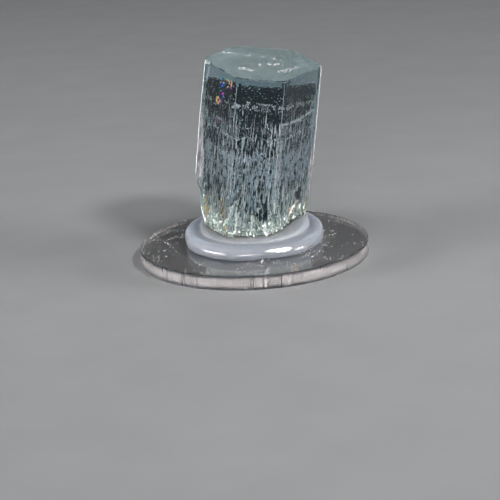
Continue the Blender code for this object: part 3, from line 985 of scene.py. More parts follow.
# %% Scatter through a volume
def volume_tree(name, profile):
    """Points through the prism's volume, thinned by a curve over their height and by clusters."""
    tree, given = new_tree(name, VOLUME_SOCKETS)
    seed = given["Seed"]
    wide = given["Half Width"]
    narrow = maths(tree, "MULTIPLY", wide, -1.0)
    x = random_between(tree, narrow, wide, seed, 1)
    y = random_between(tree, narrow, wide, seed, 2)
    z = random_between(tree, given["Lowest"], given["Highest"], seed, 3)
    start = add_node(tree, "ShaderNodeCombineXYZ", {0: x, 1: y, 2: z}).outputs[0]
    points = add_node(tree, "GeometryNodePoints", {
        "Count": given["Candidates"], "Position": start,
    }).outputs[0]
    here = add_node(tree, "GeometryNodeInputPosition").outputs[0]
    up = add_node(tree, "ShaderNodeSeparateXYZ", {0: here}).outputs[2]
    share = ranged(tree, up, given["Lowest"], given["Highest"])
    curve = add_node(tree, "ShaderNodeFloatCurve", {"Value": share})
    track = curve.mapping.curves[0].points
    while len(track) < len(profile):
        track.new(0.5, 0.5)
    for point, (at, density) in zip(track, profile):
        point.location = (at, density)
        point.handle_type = "VECTOR"
    curve.mapping.update()
    cell = vector_maths(tree, "DIVIDE", here, given["Cluster Size"])
    cloud = add_node(tree, "ShaderNodeTexNoise", {"Vector": cell, "Scale": 1.0, "Detail": 2.0}).outputs[0]
    soft = maths(tree, "ADD", given["Cluster Cut"], 0.12)
    chance = maths(tree, "MULTIPLY", curve.outputs[0], ranged(tree, cloud, given["Cluster Cut"], soft))
    lost = maths(tree, "GREATER_THAN", random_between(tree, 0.0, 1.0, seed, 4), chance)
    spindles_on(tree, given, without(tree, points, lost))
    return tree


# %% Scatter along paths
def path_tree(name):
    """Points along the host's paths, each moved off by a random part of the spread."""
    tree, given = new_tree(name, PATH_SOCKETS)
    seed = given["Seed"]
    curves = add_node(tree, "GeometryNodeMeshToCurve", {0: given["Geometry"]}).outputs[0]
    points = add_node(tree, "GeometryNodeCurveToPoints", {
        0: curves, "Length": given["Spacing"],
    }, mode="LENGTH").outputs[0]
    off = [random_between(tree, -1.0, 1.0, seed, number) for number in (1, 2, 3)]
    off = add_node(tree, "ShaderNodeCombineXYZ", {0: off[0], 1: off[1], 2: off[2]}).outputs[0]
    off = vector_maths(tree, "MULTIPLY", off, given["Spread"])
    points = add_node(tree, "GeometryNodeSetPosition", {0: points, "Offset": off}).outputs[0]
    here = add_node(tree, "GeometryNodeInputPosition").outputs[0]
    cell = vector_maths(tree, "SCALE", here, 1.0 / GAP_LENGTH)
    cloud = add_node(tree, "ShaderNodeTexNoise", {"Vector": cell, "Scale": 1.0, "Detail": 1.0}).outputs[0]
    spindles_on(tree, given, without(tree, points, maths(tree, "LESS_THAN", cloud, given["Gaps"])))
    return tree


def paths_mesh(name, paths):
    """A mesh of open lines from lists of points in the crystal's frame, in millimetres."""
    points, edges = [], []
    for path in paths:
        edges += [(len(points) + i, len(points) + i + 1) for i in range(len(path) - 1)]
        points += [Vector(point) * MM for point in path]
    mesh = bpy.data.meshes.new(name)
    mesh.from_pydata(points, edges, [])
    return mesh


print("paths ready")


# %% Run a tree
def in_metres(title, size):
    """A tree's input from a size in millimetres; counts and ratios stay as they are."""
    if title in PLAIN_NUMBERS:
        return size
    if isinstance(size, tuple):
        return tuple(part * MM for part in size)
    return size * MM


def grown(name, tree, finish, host_mesh=None, **sizes):
    """Run a tree on a host object, with its sizes in millimetres, and keep a plain mesh."""
    values = {key.replace("_", " ").title(): size for key, size in sizes.items()}
    values = {title: in_metres(title, size) for title, size in values.items()}
    values.update(Crystal=crystal, Foot=CRYSTAL_FOOT, Lean=(LEAN_FORWARD, LEAN_RIGHT, 0.0), Finish=finish)
    host = bpy.data.objects.new(name, host_mesh or bpy.data.meshes.new(name))
    bpy.context.scene.collection.objects.link(host)
    modifier = host.modifiers.new(name, "NODES")
    modifier.node_group = tree
    for item in tree.interface.items_tree:
        if item.in_out == "INPUT" and item.name in values:
            modifier[item.identifier] = values[item.name]
    graph = bpy.context.evaluated_depsgraph_get()
    mesh = bpy.data.meshes.new_from_object(host.evaluated_get(graph), depsgraph=graph)
    host.modifiers.clear()
    host.data = mesh
    print(name, "has", len(mesh.polygons), "faces")
    return host


# %% [markdown]
# ## Finishes of the inclusions
#
# Each spindle carries a random shade from the tree. A ramp turns it into a colour between two
# close tones, so the rain is made of brighter and duller needles as it is in the stone.

# %% Inclusion materials
def inclusion_material(name, stops, rough=0.4, shade_part=0.7, cloud_scale=0.5):
    """Mineral flecks whose tone comes from the shade that the tree stored on each."""
    material, tree, shader, _ = new_material(name)
    shade = add_node(tree, "ShaderNodeAttribute", attribute_name="shade").outputs["Fac"]
    place = place_in_mm(tree, TO_WORLD)
    cloud = ranged(tree, noise_of(tree, place, cloud_scale, 2.0), 0.3, 0.7)
    mixed = maths(tree, "ADD", maths(tree, "MULTIPLY", shade, shade_part),
                  maths(tree, "MULTIPLY", cloud, 1.0 - shade_part))
    tree.links.new(colours(tree, mixed, stops), shader.inputs["Base Color"])
    grain = noise_of(tree, place, 9.0, 2.0)
    tree.links.new(ranged(tree, grain, 0.3, 0.7, rough - 0.12, rough + 0.12), shader.inputs["Roughness"])
    tree.links.new(bump(tree, grain, 0.02 * MM, 0.5), shader.inputs["Normal"])
    return material


tube_finish = inclusion_material("growth_tube_silver", (
    (0.0, (0.06, 0.115, 0.145)), (0.45, (0.28, 0.38, 0.44)), (0.78, (0.72, 0.80, 0.85)),
    (1.0, (1.0, 1.0, 1.0)),
), 0.3)
# Painted shade: a near-black finish for flecks that stand in for a dark background seen through the crystal.
painted_shade_finish = inclusion_material("deep_tube_shadow", (
    (0.0, (0.002, 0.010, 0.014)), (0.7, (0.005, 0.025, 0.032)), (1.0, (0.025, 0.075, 0.09)),
), 0.5)
painted_shade_finish.node_tree.nodes["Principled BSDF"].inputs["Specular IOR Level"].default_value = 0.1
speck_finish = inclusion_material("pale_speck", (
    (0.0, (0.24, 0.31, 0.34)), (0.55, (0.58, 0.66, 0.70)), (1.0, (1.0, 1.0, 1.0)),
))
haze_finish = inclusion_material("milky_haze", (
    (0.0, (0.20, 0.25, 0.30)), (1.0, (0.42, 0.49, 0.56)),
), 0.6)
root_finish = inclusion_material("milky_root_green", (
    (0.0, (0.36, 0.43, 0.39)), (0.5, (0.60, 0.66, 0.61)), (1.0, (0.90, 0.94, 0.89)),
), 0.5)
edge_finish = inclusion_material("bruised_edge_white", (
    (0.0, (0.16, 0.155, 0.17)), (0.45, (0.42, 0.41, 0.43)), (0.75, (0.85, 0.83, 0.86)),
    (1.0, (1.0, 0.98, 1.0)),
), 0.35)
stain_finish = inclusion_material("iron_stain", (
    (0.0, (0.22, 0.11, 0.02)), (0.5, (0.55, 0.33, 0.08)), (1.0, (0.80, 0.62, 0.34)),
), 0.5)
peach_finish = inclusion_material("peach_break", (
    (0.0, (0.66, 0.42, 0.20)), (0.3, (0.92, 0.76, 0.62)), (1.0, (1.0, 0.97, 0.95)),
), 0.4)
print("inclusion finishes ready")

# %% Growth tubes
# Height runs from 0 to 1 between the lowest and the highest point, density from 0 to 1.
TUBE_DENSITY = (
    (0.0, 0.45), (0.15, 0.6), (0.35, 0.7), (0.47, 0.6), (0.60, 0.75), (0.66, 0.36), (0.80, 0.40),
    (0.845, 0.3), (0.875, 0.10), (1.0, 0.07),
)
growth_tubes = grown(
    "growth_tubes", volume_tree("growth_tube_scatter", TUBE_DENSITY), tube_finish,
    candidates=150000, seed=3, lowest=1.0, highest=33.0, ceiling=33.0, waviness=2.0,
    cluster_size=(1.0, 1.0, 3.2), cluster_cut=0.48, thinnest=0.05, thickest=0.14,
    shortest=0.3, longest=2.5, tilt=0.03, clearance=0.10, deepest=4.0,
)

# %% [markdown]
# ## Threads
#
# A few tubes run on for many millimetres and show as single fine lines. They are the same spindles
# as the tubes, only longer and brighter, so the same tree makes them with other sizes.

# %% Threads
long_threads = grown(
    "long_threads", volume_tree("long_thread_scatter", TUBE_DENSITY), speck_finish,
    candidates=9000, seed=4, lowest=4.0, highest=31.0, ceiling=32.0, waviness=3.0,
    cluster_size=(0.9, 0.9, 12.0), cluster_cut=0.5, thinnest=0.06, thickest=0.13,
    shortest=3.0, longest=9.0, tilt=0.012, clearance=0.10, deepest=2.5,
)

# %% [markdown]
# ## Painted shade inside the crystal
#
# A clear crystal shows what stands behind it. Before a dark room it looks dark inside, and on this
# light floor it would look pale. The dark flecks below are painted shade and NO feature of the
# mineral: they stand in for a dark background, and set off the pale tubes in front of them. They
# darken the crystal from every side, most of all from above. A dark backdrop would be the plain way
# to the same look. For a truly clear crystal, leave out the painted shade tubes, flecks and windows.

# %% Shadow inside
deep_tubes = grown(
    "deep_tubes",
    volume_tree("painted_shade_tube_scatter", (
        (0.0, 0.3), (0.2, 0.5), (0.45, 0.7), (0.75, 0.8), (0.86, 1.0), (1.0, 1.0),
    )),
    painted_shade_finish,
    candidates=34000, seed=5, lowest=2.0, highest=33.0, ceiling=32.8, waviness=1.0,
    cluster_size=(1.6, 1.6, 6.0), cluster_cut=0.33, thinnest=0.16, thickest=0.42,
    shortest=0.6, longest=3.2, tilt=0.04, clearance=2.2,
)
# Short blunt flecks, painted shade as well, close the upper end of the shadow, which would be a fringe of
# needle points.
deep_flecks = grown(
    "deep_flecks", volume_tree("painted_shade_fleck_scatter", ((0.0, 0.4), (1.0, 1.0))), painted_shade_finish,
    candidates=12000, seed=6, lowest=31.4, highest=33.4, ceiling=33.1, waviness=1.2,
    cluster_size=(1.6, 1.6, 6.0), cluster_cut=0.30, thinnest=0.25, thickest=0.55,
    shortest=0.15, longest=0.45, tilt=0.5, clearance=1.6,
)

# %% [markdown]
# ## Specks and bands
#
# Between the tubes lie tiny fluid-filled specks, a few of them even in the clear cap. Where the
# growth paused they crowd into thin bands across the prism. A density curve over the height says
# where they are, which a plain random scatter could not.

# %% Specks
growth_specks = grown(
    "growth_specks",
    volume_tree("growth_speck_scatter", (
        (0.0, 0.5), (0.4, 0.6), (0.6, 0.9), (0.75, 0.7), (0.905, 0.8), (0.92, 0.34), (0.985, 0.16),
        (1.0, 0.0),
    )),
    speck_finish,
    candidates=44000, seed=9, lowest=1.0, highest=36.2, cluster_size=(1.2, 1.2, 2.0), cluster_cut=0.42,
    thinnest=0.05, thickest=0.16, shortest=0.08, longest=0.34, tilt=0.8, clearance=0.1, deepest=5.0,
)

# %% Growth bands
# Two pale bands mark pauses in the growth.
growth_bands = grown(
    "growth_bands",
    volume_tree("growth_band_scatter", (
        (0.0, 0.6), (0.1, 1.0), (0.22, 0.5), (0.3, 0.0), (0.82, 0.0), (0.88, 0.9), (0.97, 0.9), (1.0, 0.3),
    )),
    speck_finish,
    candidates=30000, seed=13, lowest=25.0, highest=28.1, ceiling=60.0,
    cluster_size=(1.7, 1.7, 1.0), cluster_cut=0.49, thinnest=0.07, thickest=0.26,
    shortest=0.1, longest=0.5, tilt=0.8, clearance=0.12, deepest=2.4,
)

# %% [markdown]
# ## Milky layer and root
#
# Half way up, the flecks are so dense that the crystal turns milky, and near the break they fill it
# with a pale green. A volume shader could haze these zones, but it would lose the grain that shows
# from close by, so both are made of broader, duller spindles.

# %% Milky layer
milky_layer = grown(
    "milky_layer",
    volume_tree("milky_layer_scatter", (
        (0.0, 0.3), (0.3, 0.8), (0.85, 1.0), (0.95, 0.6), (1.0, 0.0),
    )),
    haze_finish,
    candidates=20000, seed=17, lowest=14.5, highest=21.6, cluster_size=(3.0, 3.0, 1.8), cluster_cut=0.40,
    thinnest=0.16, thickest=0.5, shortest=0.2, longest=1.2, tilt=0.5, clearance=0.7, deepest=4.5,
)

# %% Root needles
root_needles = grown(
    "root_needles",
    volume_tree("root_needle_scatter", (
        (0.0, 1.0), (0.35, 0.9), (0.6, 0.45), (0.8, 0.15), (1.0, 0.0),
    )),
    root_finish,
    candidates=16000, seed=21, lowest=0.8, highest=13.0, cluster_size=(2.2, 2.2, 3.0), cluster_cut=0.34,
    thinnest=0.16, thickest=0.6, shortest=0.4, longest=2.4, tilt=0.15, clearance=0.12,
)

root_fill = grown(
    "root_fill", volume_tree("root_fill_scatter", ((0.0, 1.0), (0.6, 1.0), (1.0, 0.2))), root_finish,
    candidates=26000, seed=22, lowest=0.4, highest=7.0, cluster_size=(2.6, 2.6, 3.4), cluster_cut=0.34,
    thinnest=0.3, thickest=0.9, shortest=0.3, longest=1.2, tilt=0.6, clearance=0.10, deepest=2.0,
)

# %% [markdown]
# ## Layers, edges and veils
#
# Some flecks follow a line and not the whole volume: the bruised prism edges, a healed crack that
# shows as a curved veil, a small ring, and the rust that crept in at the foot. One tree takes any
# set of lines and scatters spindles along them.

# %% Lines through the crystal
def edge_line(edge, low, high, inset):
    """Points in millimetres along one prism edge, set in from it towards the axis."""
    line = []
    for height in np.arange(low, high, 0.5):
        corner = sharp_corner(edge, np.array([height * MM]), 0.0)[0] / MM
        cut = pairs(EDGE_CUTS[edge], np.array([height * MM]))[0] / MM
        reach = float(np.linalg.norm(corner))
        corner = corner * (1.0 - (cut + inset) / reach)
        line.append((corner[0], corner[1], height))
    return line


def face_point(face, across, height, depth):
    """A point in millimetres under a prism face, from its distance along the face and its height."""
    flat = NORMALS[face] * (FACE_DISTANCES[face] / MM - depth) + TANGENTS[face] * across
    return flat[0], flat[1], height


def face_line(face, *corners, depth=0.3):
    """A path under a face through places given as distance along the face and height."""
    return [face_point(face, across, height, depth) for across, height in corners]


along_lines = path_tree("along_lines")
print("lines ready")

# %% Growth front
# The cloudy growth ended on one wavy front, which shows as a row of pale clots under the faces.
front_rows = [
    face_line(FRONT, (-5.4, 33.0), (-2.0, 33.3), (1.0, 32.9), (5.0, 33.0), depth=0.5),
    face_line(FRONT, (-5.0, 32.6), (0.0, 32.4), (4.8, 32.3), depth=0.6),
    face_line(FRONT_LEFT, (-5.8, 31.3), (-0.5, 31.0), (4.0, 31.8), (7.9, 32.7), depth=0.5),
    face_line(FRONT_RIGHT, (-7.9, 32.4), (-4.0, 32.5), (0.0, 31.9), (3.0, 31.7), (7.4, 30.8), depth=0.5),
]
growth_front = grown(
    "growth_front", along_lines, speck_finish, paths_mesh("growth_front_lines", front_rows + front_rows[:1]),
    seed=40, spacing=0.035, spread=(0.40, 0.40, 0.55), gaps=0.54, thinnest=0.05, thickest=0.20,
    shortest=0.08, longest=0.5, tilt=0.9, clearance=0.06,
)

# %% Silhouette strips
# Both side edges show a silvery grey strip, as broad as a few millimetres lower down: partly crushed edge,
# partly a painted highlight of the side lamps on the silhouette.
strip_lines = []
for k in range(12):
    across = -6.75 + 0.30 * k
    strip_lines.append(face_line(FRONT_LEFT, (across, 9.5 + 0.3 * k), (across, 34.5 - 1.6 * k), depth=0.16))
for k in range(7):
    across = 7.95 - 0.3 * k
    strip_lines.append(face_line(FRONT_RIGHT, (across, 7.5), (across, 28.0 - 2.0 * k), depth=0.16))
for edge, low, high in ((1, 6.0, 38.0), (2, 5.0, 22.0), (3, 5.0, 22.0), (4, 9.0, 38.3)):
    strip_lines += [edge_line(edge, low, high, 0.18)] * 2
    strip_lines.append(edge_line(edge, low, high - 6.0, 0.40))
edge_strips = grown(
    "edge_strips", along_lines, edge_finish, paths_mesh("strip_lines", strip_lines),
    seed=41, spacing=0.11, spread=(0.14, 0.14, 0.5), gaps=0.47, thinnest=0.05, thickest=0.16,
    shortest=0.4, longest=2.6, tilt=0.02, clearance=0.02,
)

# %% Bright edges, a painted highlight
# Outermost, each side edge of the clear cap shows one thin bright line: white flecks that are a painted
# highlight of the lamps along the edge.
bright_finish = inclusion_material("edge_line_white", (
    (0.0, (0.80, 0.80, 0.82)), (1.0, (1.0, 1.0, 1.0)),
), 0.35)
bright_edges = grown(
    "bright_edges", along_lines, bright_finish,
    paths_mesh("painted_edge_highlight_lines", [
        edge_line(1, 16.0, 38.2, 0.12),
        edge_line(1, 20.0, 38.2, 0.2),
        edge_line(4, 13.0, 38.2, 0.12),
        edge_line(4, 26.0, 38.2, 0.2),
    ]),
    seed=42, spacing=0.05, spread=(0.05, 0.05, 0.4), gaps=0.26, thinnest=0.22, thickest=0.44,
    shortest=0.5, longest=1.6, tilt=0.01, clearance=-0.16,
)

# Fine bright threads lie just under the faces, in front of all the rest.
face_threads = grown(
    "face_threads", volume_tree("face_thread_scatter", TUBE_DENSITY), bright_finish,
    candidates=26000, seed=12, lowest=4.0, highest=33.0, ceiling=33.0, waviness=2.0,
    cluster_size=(0.8, 0.8, 9.0), cluster_cut=0.50, thinnest=0.05, thickest=0.12,
    shortest=0.4, longest=3.4, tilt=0.02, clearance=0.04, deepest=0.9,
)

# %% Front edges
front_edges = grown(
    "front_edges", along_lines, edge_finish,
    paths_mesh("front_edge_lines", [
        face_line(FRONT, (4.75, 14.0), (4.75, 28.6), depth=0.2),
        face_line(FRONT_RIGHT, (-7.9, 11.5), (-7.9, 22.0), depth=0.2),
        face_line(FRONT, (4.7, 9.0), (4.7, 14.0), depth=0.2),
        face_line(FRONT, (-4.2, 24.0), (-4.2, 28.3), depth=0.25),
        face_line(FRONT, (-4.7, 14.0), (-4.7, 26.0), depth=0.3),
        face_line(FRONT, (-3.9, 13.0), (-3.9, 20.0), depth=0.4),
        face_line(FRONT_LEFT, (7.4, 13.5), (7.4, 21.0), depth=0.4),
    ]),
    seed=43, spacing=0.16, spread=(0.09, 0.08, 1.0), gaps=0.46, thinnest=0.05, thickest=0.14,
    shortest=0.6, longest=2.8, tilt=0.015, clearance=0.02,
)
faint_edges = grown(
    "faint_edges", along_lines, haze_finish,
    paths_mesh("faint_edge_lines", [
        edge_line(0, 27.0, 38.2, 0.15),
        edge_line(5, 9.0, 37.5, 0.2),
    ]),
    seed=44, spacing=0.12, spread=(0.07, 0.07, 0.5), gaps=0.40, thinnest=0.04, thickest=0.12,
    shortest=0.5, longest=2.2, tilt=0.02, clearance=0.01,
)

# %% Rim chips
# The rim of the flat end is nibbled all round, most of all at its left corner.
rim_corners = [Vector((*corner, 38.5)) for corner in top_corners]
rim_line = [tuple(corner * 0.972) for corner in rim_corners + rim_corners[:1]]
rim_line = [(x, y, 38.5) for x, y, _ in rim_line]
left_chips = face_line(FRONT_LEFT, (-6.8, 38.1), (-5.0, 38.4), (-3.6, 38.5), depth=0.30)
rim_flecks = grown(
    "rim_flecks", along_lines, haze_finish, paths_mesh("rim_lines", [rim_line]),
    seed=46, spacing=0.10, spread=(0.16, 0.16, 0.14), gaps=0.48, thinnest=0.06, thickest=0.18,
    shortest=0.08, longest=0.30, tilt=1.4, clearance=0.005,
)
rim_chips = grown(
    "rim_chips", along_lines, bright_finish, paths_mesh("left_chip_lines", [left_chips] * 4),
    seed=45, spacing=0.04, spread=(0.16, 0.16, 0.14), gaps=0.42, thinnest=0.08, thickest=0.22,
    shortest=0.08, longest=0.36, tilt=1.4, clearance=0.005,
)

# %% Veil, ring and crack
def ring_line(face, across, height, radius, depth, turns=14):
    """A closed ring under a face."""
    angles = [math.tau * k / turns for k in range(turns + 1)]
    return [
        face_point(face, across + radius * math.cos(a), height + radius * math.sin(a), depth)
        for a in angles
    ]


veil = face_line(FRONT_RIGHT, (-7.9, 29.0), (-4.0, 28.6), (-0.3, 28.6), (3.2, 28.8), (6.6, 29.4), depth=0.5)
veil_fleck = grown(
    "healed_veil", along_lines, speck_finish,
    paths_mesh("veil_lines", [
        veil,
        veil,
        ring_line(FRONT, 1.5, 21.4, 1.05, 0.6),
        ring_line(FRONT, 2.1, 9.3, 0.7, 0.3),
        face_line(FRONT, (3.3, 9.6), (2.6, 8.0), (3.2, 6.4), (3.5, 5.4), depth=0.4),
        face_line(FRONT_LEFT, (-3.6, 37.6), (-4.8, 33.2), depth=0.3),
    ]),
    seed=47, spacing=0.05, spread=(0.20, 0.20, 0.28), gaps=0.49, thinnest=0.05, thickest=0.16,
    shortest=0.08, longest=0.5, tilt=0.9, clearance=0.05,
)

# %% Dark windows of painted shade
# Where the haze near the broken end opens, a dark background would show through. More of the dark
# flecks stand in for it as painted shade; they are no feature of the mineral either.
dark_windows = grown(
    "dark_windows", along_lines, painted_shade_finish,
    paths_mesh("painted_shade_window_lines", [
        face_line(FRONT, (2.4, 11.2), (2.9, 8.6), (3.0, 6.6), depth=0.45),
        face_line(FRONT, (3.0, 11.4), (3.4, 8.2), (3.3, 7.0), depth=0.45),
        face_line(FRONT, (2.0, 9.6), (2.3, 7.4), depth=0.5),
        face_line(FRONT_RIGHT, (1.5, 11.4), (2.0, 9.6), depth=0.5),
        face_line(FRONT_RIGHT, (2.3, 11.6), (2.8, 9.8), depth=0.5),
        face_line(FRONT_LEFT, (-1.0, 13.0), (-0.6, 10.6), depth=0.5),
    ]),
    seed=49, spacing=0.06, spread=(0.22, 0.22, 0.4), gaps=0.34, thinnest=0.20, thickest=0.50,
    shortest=0.4, longest=1.4, tilt=0.12, clearance=0.03,
)

# %% Bright crack
# One jagged crack in the root is wide enough to flash white.
root_crack = grown(
    "root_crack", along_lines, bright_finish,
    paths_mesh("root_crack_lines", [
        face_line(FRONT, (3.1, 7.0), (3.5, 5.4), (3.3, 4.6), (3.9, 3.4), depth=0.42),
        face_line(FRONT, (3.4, 6.0), (3.1, 5.0), (3.6, 4.2), (3.4, 3.2), depth=0.62),
        face_line(FRONT, (3.7, 5.2), (4.1, 4.2), (3.8, 3.2), depth=0.82),
        face_line(FRONT, (3.2, 6.4), (3.7, 5.0), (3.5, 3.8), depth=1.0),
        face_line(FRONT, (-3.2, 8.6), (-2.9, 5.4), (-3.3, 3.6), depth=0.7),
        face_line(FRONT, (0.2, 8.0), (0.4, 5.6), depth=0.6),
    ]),
    seed=48, spacing=0.03, spread=(0.16, 0.16, 0.2), gaps=0.34, thinnest=0.10, thickest=0.30,
    shortest=0.1, longest=0.6, tilt=0.5, clearance=-0.12,
)

# %% Iron stain
iron_stain = grown(
    "iron_stain", along_lines, stain_finish,
    paths_mesh("stain_lines", [
        face_line(FRONT_LEFT, (5.2, 10.6), (5.7, 8.4), depth=0.5),
        face_line(FRONT_LEFT, (5.7, 8.4), (6.6, 5.6), (7.1, 3.6), depth=0.75),
        face_line(FRONT_LEFT, (6.9, 4.6), (7.2, 3.0), depth=0.85),
        face_line(FRONT_LEFT, (-2.6, 8.7), (-2.2, 6.4), (-1.6, 4.2), depth=0.8),
        face_line(FRONT_LEFT, (-1.9, 8.0), (-1.0, 5.4), depth=0.8),
        face_line(FRONT_RIGHT, (-1.3, 5.2), (0.2, 5.8), (1.3, 6.6), depth=1.3),
        face_line(FRONT_RIGHT, (6.4, 5.0), (6.8, 8.0), (6.6, 10.4), depth=0.5),
        face_line(BACK, (-3.2, 3.0), (-2.4, 9.0), (-2.6, 13.0), depth=0.3),
        face_line(BACK_LEFT, (4.0, 4.0), (3.4, 8.0), depth=0.3),
    ]),
    seed=51, spacing=0.05, spread=(0.38, 0.38, 0.4), gaps=0.47, thinnest=0.08, thickest=0.26,
    shortest=0.2, longest=0.9, tilt=0.25, clearance=0.015,
)
peach_break = grown(
    "peach_break", along_lines, peach_finish,
    paths_mesh("peach_lines", [
        face_line(FRONT_RIGHT, (-0.4, 6.0), (1.2, 7.2), (2.8, 8.6), depth=1.35),
        face_line(FRONT_RIGHT, (0.0, 5.8), (1.4, 6.8), (2.8, 8.0), depth=1.5),
        face_line(FRONT_RIGHT, (0.8, 7.6), (2.6, 9.0), depth=1.3),
        face_line(FRONT_RIGHT, (0.8, 6.8), (2.4, 8.2), depth=1.4),
    ]),
    seed=53, spacing=0.025, spread=(0.45, 0.45, 0.4), gaps=0.30, thinnest=0.25, thickest=0.60,
    shortest=0.2, longest=0.8, tilt=0.6, clearance=0.0,
)

# %% [markdown]
# ## Rainbow cracks
#
# Thin cracks under the left face hold a film of air. It takes colours from white light as an oil
# film does, one colour for each thickness of the film, so each colour is a piece with its own lines.

# %% Rainbow cracks
def film_ring(across, height, half_width, half_height, start=0.0, end=1.0, turns=12):
    """Part of a ring under the left face, wider along the face than it looks from the front."""
    angles = [math.tau * (start + (end - start) * k / turns) for k in range(turns + 1)]
    return [
        face_point(
            FRONT_LEFT, across + half_width * math.cos(a), height + half_height * math.sin(a), FILM_DEPTH
        )
        for a in angles
    ]


def film_line(*corners):
    return face_line(FRONT_LEFT, *corners, depth=FILM_DEPTH)


FILM_DEPTH = 0.45
FILMS = (
    ("film_blue", ((0.0, (0.0, 0.02, 0.75)), (0.5, (0.02, 0.10, 1.0)), (1.0, (0.0, 0.55, 1.0))), (
        film_line((2.3, 35.5), (2.9, 36.1), (3.5, 36.1)),
        film_line((1.8, 35.0), (3.0, 35.6)),
        film_line((3.0, 33.5), (3.6, 33.2)),
        film_ring(4.0, 36.3, 2.3, 1.1, 0.30, 0.42),
    )),
    ("film_magenta", ((0.0, (0.35, 0.0, 0.85)), (0.5, (0.95, 0.0, 0.80)), (1.0, (1.0, 0.12, 0.35))), (
        film_line((2.5, 33.6), (3.2, 34.1)),
        film_line((2.6, 33.8), (3.1, 33.7)),
        film_line((5.7, 35.9), (6.4, 35.9)),
        film_ring(1.0, 31.8, 0.8, 0.75, -0.2, 0.2),
        film_line((2.2, 27.2), (2.2, 28.2)),
        film_ring(4.0, 36.3, 2.2, 1.0, 0.02, 0.10),
    )),
    ("film_yellow", ((0.0, (1.0, 0.30, 0.0)), (0.45, (1.0, 0.62, 0.06)), (1.0, (1.0, 0.92, 0.35))), (
        film_line((6.1, 36.3), (6.15, 37.5)),
        film_line((6.3, 36.3), (6.35, 37.4)),
        film_ring(1.0, 31.8, 0.7, 0.7, 0.2, 0.8),
        film_ring(1.0, 31.8, 0.55, 0.6, 0.0, 1.0),
        film_ring(4.0, 36.3, 2.2, 1.0, 0.14, 0.26),
    )),
    ("film_green", ((0.0, (0.0, 0.22, 0.10)), (0.5, (0.02, 0.45, 0.22)), (1.0, (0.25, 0.75, 0.30))), (
        film_ring(4.0, 36.3, 2.4, 1.15, 0.22, 0.44),
        film_line((1.6, 33.9), (2.3, 34.4)),
        film_line((6.2, 34.3), (6.5, 34.5)),
        film_line((3.5, 28.0), (3.9, 28.5)),
        film_line((4.1, 27.0), (4.5, 27.5)),
        film_ring(1.0, 31.8, 0.95, 0.8, 0.35, 0.65),
    )),
    ("film_white", ((0.0, (0.80, 0.75, 0.85)), (1.0, (1.0, 1.0, 0.95))), (
        film_line((1.5, 35.8), (1.7, 36.0)),
        film_line((2.7, 36.2), (3.2, 36.4)),
        film_line((5.0, 36.5), (5.2, 36.7)),
        film_line((4.6, 35.7), (4.9, 35.9)),
    )),
)
rainbow_cracks = [
    grown(
        name, along_lines, inclusion_material(name, stops, 0.3, 0.5, 1.3),
        paths_mesh(name + "_lines", lines),
        seed=57, spacing=0.05, spread=(0.08, 0.08, 0.10), gaps=0.30, thinnest=0.09, thickest=0.22,
        shortest=0.12, longest=0.42, tilt=0.9, clearance=0.02,
    )
    for name, stops, lines in FILMS
]

# %% Specks on the flat end
SPECK_HEIGHT = 38.77  # millimetres, just under the end face
top_specks = grown(
    "top_specks", along_lines, bright_finish,
    paths_mesh("top_speck_lines", [
        [(-8.6, 6.0, SPECK_HEIGHT), (-6.4, 7.4, SPECK_HEIGHT), (-4.6, 6.2, SPECK_HEIGHT)],
        [(-3.4, 6.6, SPECK_HEIGHT), (-2.2, 5.8, SPECK_HEIGHT)],
        [(0.6, 4.6, SPECK_HEIGHT), (3.6, 4.2, SPECK_HEIGHT)],
        [(-1.0, -1.0, SPECK_HEIGHT), (4.8, 0.4, SPECK_HEIGHT)],
        [(-5.0, -4.4, SPECK_HEIGHT), (-1.0, -6.0, SPECK_HEIGHT)],
        [(4.0, -6.0, SPECK_HEIGHT), (8.0, -1.0, SPECK_HEIGHT)],
    ]),
    seed=59, spacing=0.06, spread=(0.9, 0.9, 0.02), gaps=0.44, thinnest=0.12, thickest=0.28,
    shortest=0.12, longest=0.5, tilt=1.5, clearance=-0.14,
)

# %% [markdown]
# ## Saw lines, dust and scratches on the base
#
# The saw leaves the rim of the disc covered with fine upright lines that catch the light, and a
# polished top never stays free of dust. Both are thin slivers on a ring, so one small tree makes
# them: it spreads points between two radii and two heights and turns a sliver outward on each.

# %% Ring tree
RING_SOCKETS = (
    ("Seed", "NodeSocketInt", 1),
    ("Count", "NodeSocketInt", 100),
    ("Inner", "NodeSocketFloat", 1.0 * MM),
    ("Outer", "NodeSocketFloat", 2.0 * MM),
    ("Low", "NodeSocketFloat", 0.0),
    ("High", "NodeSocketFloat", 1.0 * MM),
    ("Smallest", "NodeSocketVector", (0.1 * MM, 0.1 * MM, 0.1 * MM)),
    ("Largest", "NodeSocketVector", (0.2 * MM, 0.2 * MM, 0.2 * MM)),
    ("Cluster Cut", "NodeSocketFloat", 0.0),
    ("Start", "NodeSocketFloat", 0.0),
    ("End", "NodeSocketFloat", math.tau),
    ("Finish", "NodeSocketMaterial", None),
)
PLAIN_NUMBERS += ("Count", "Start", "End")


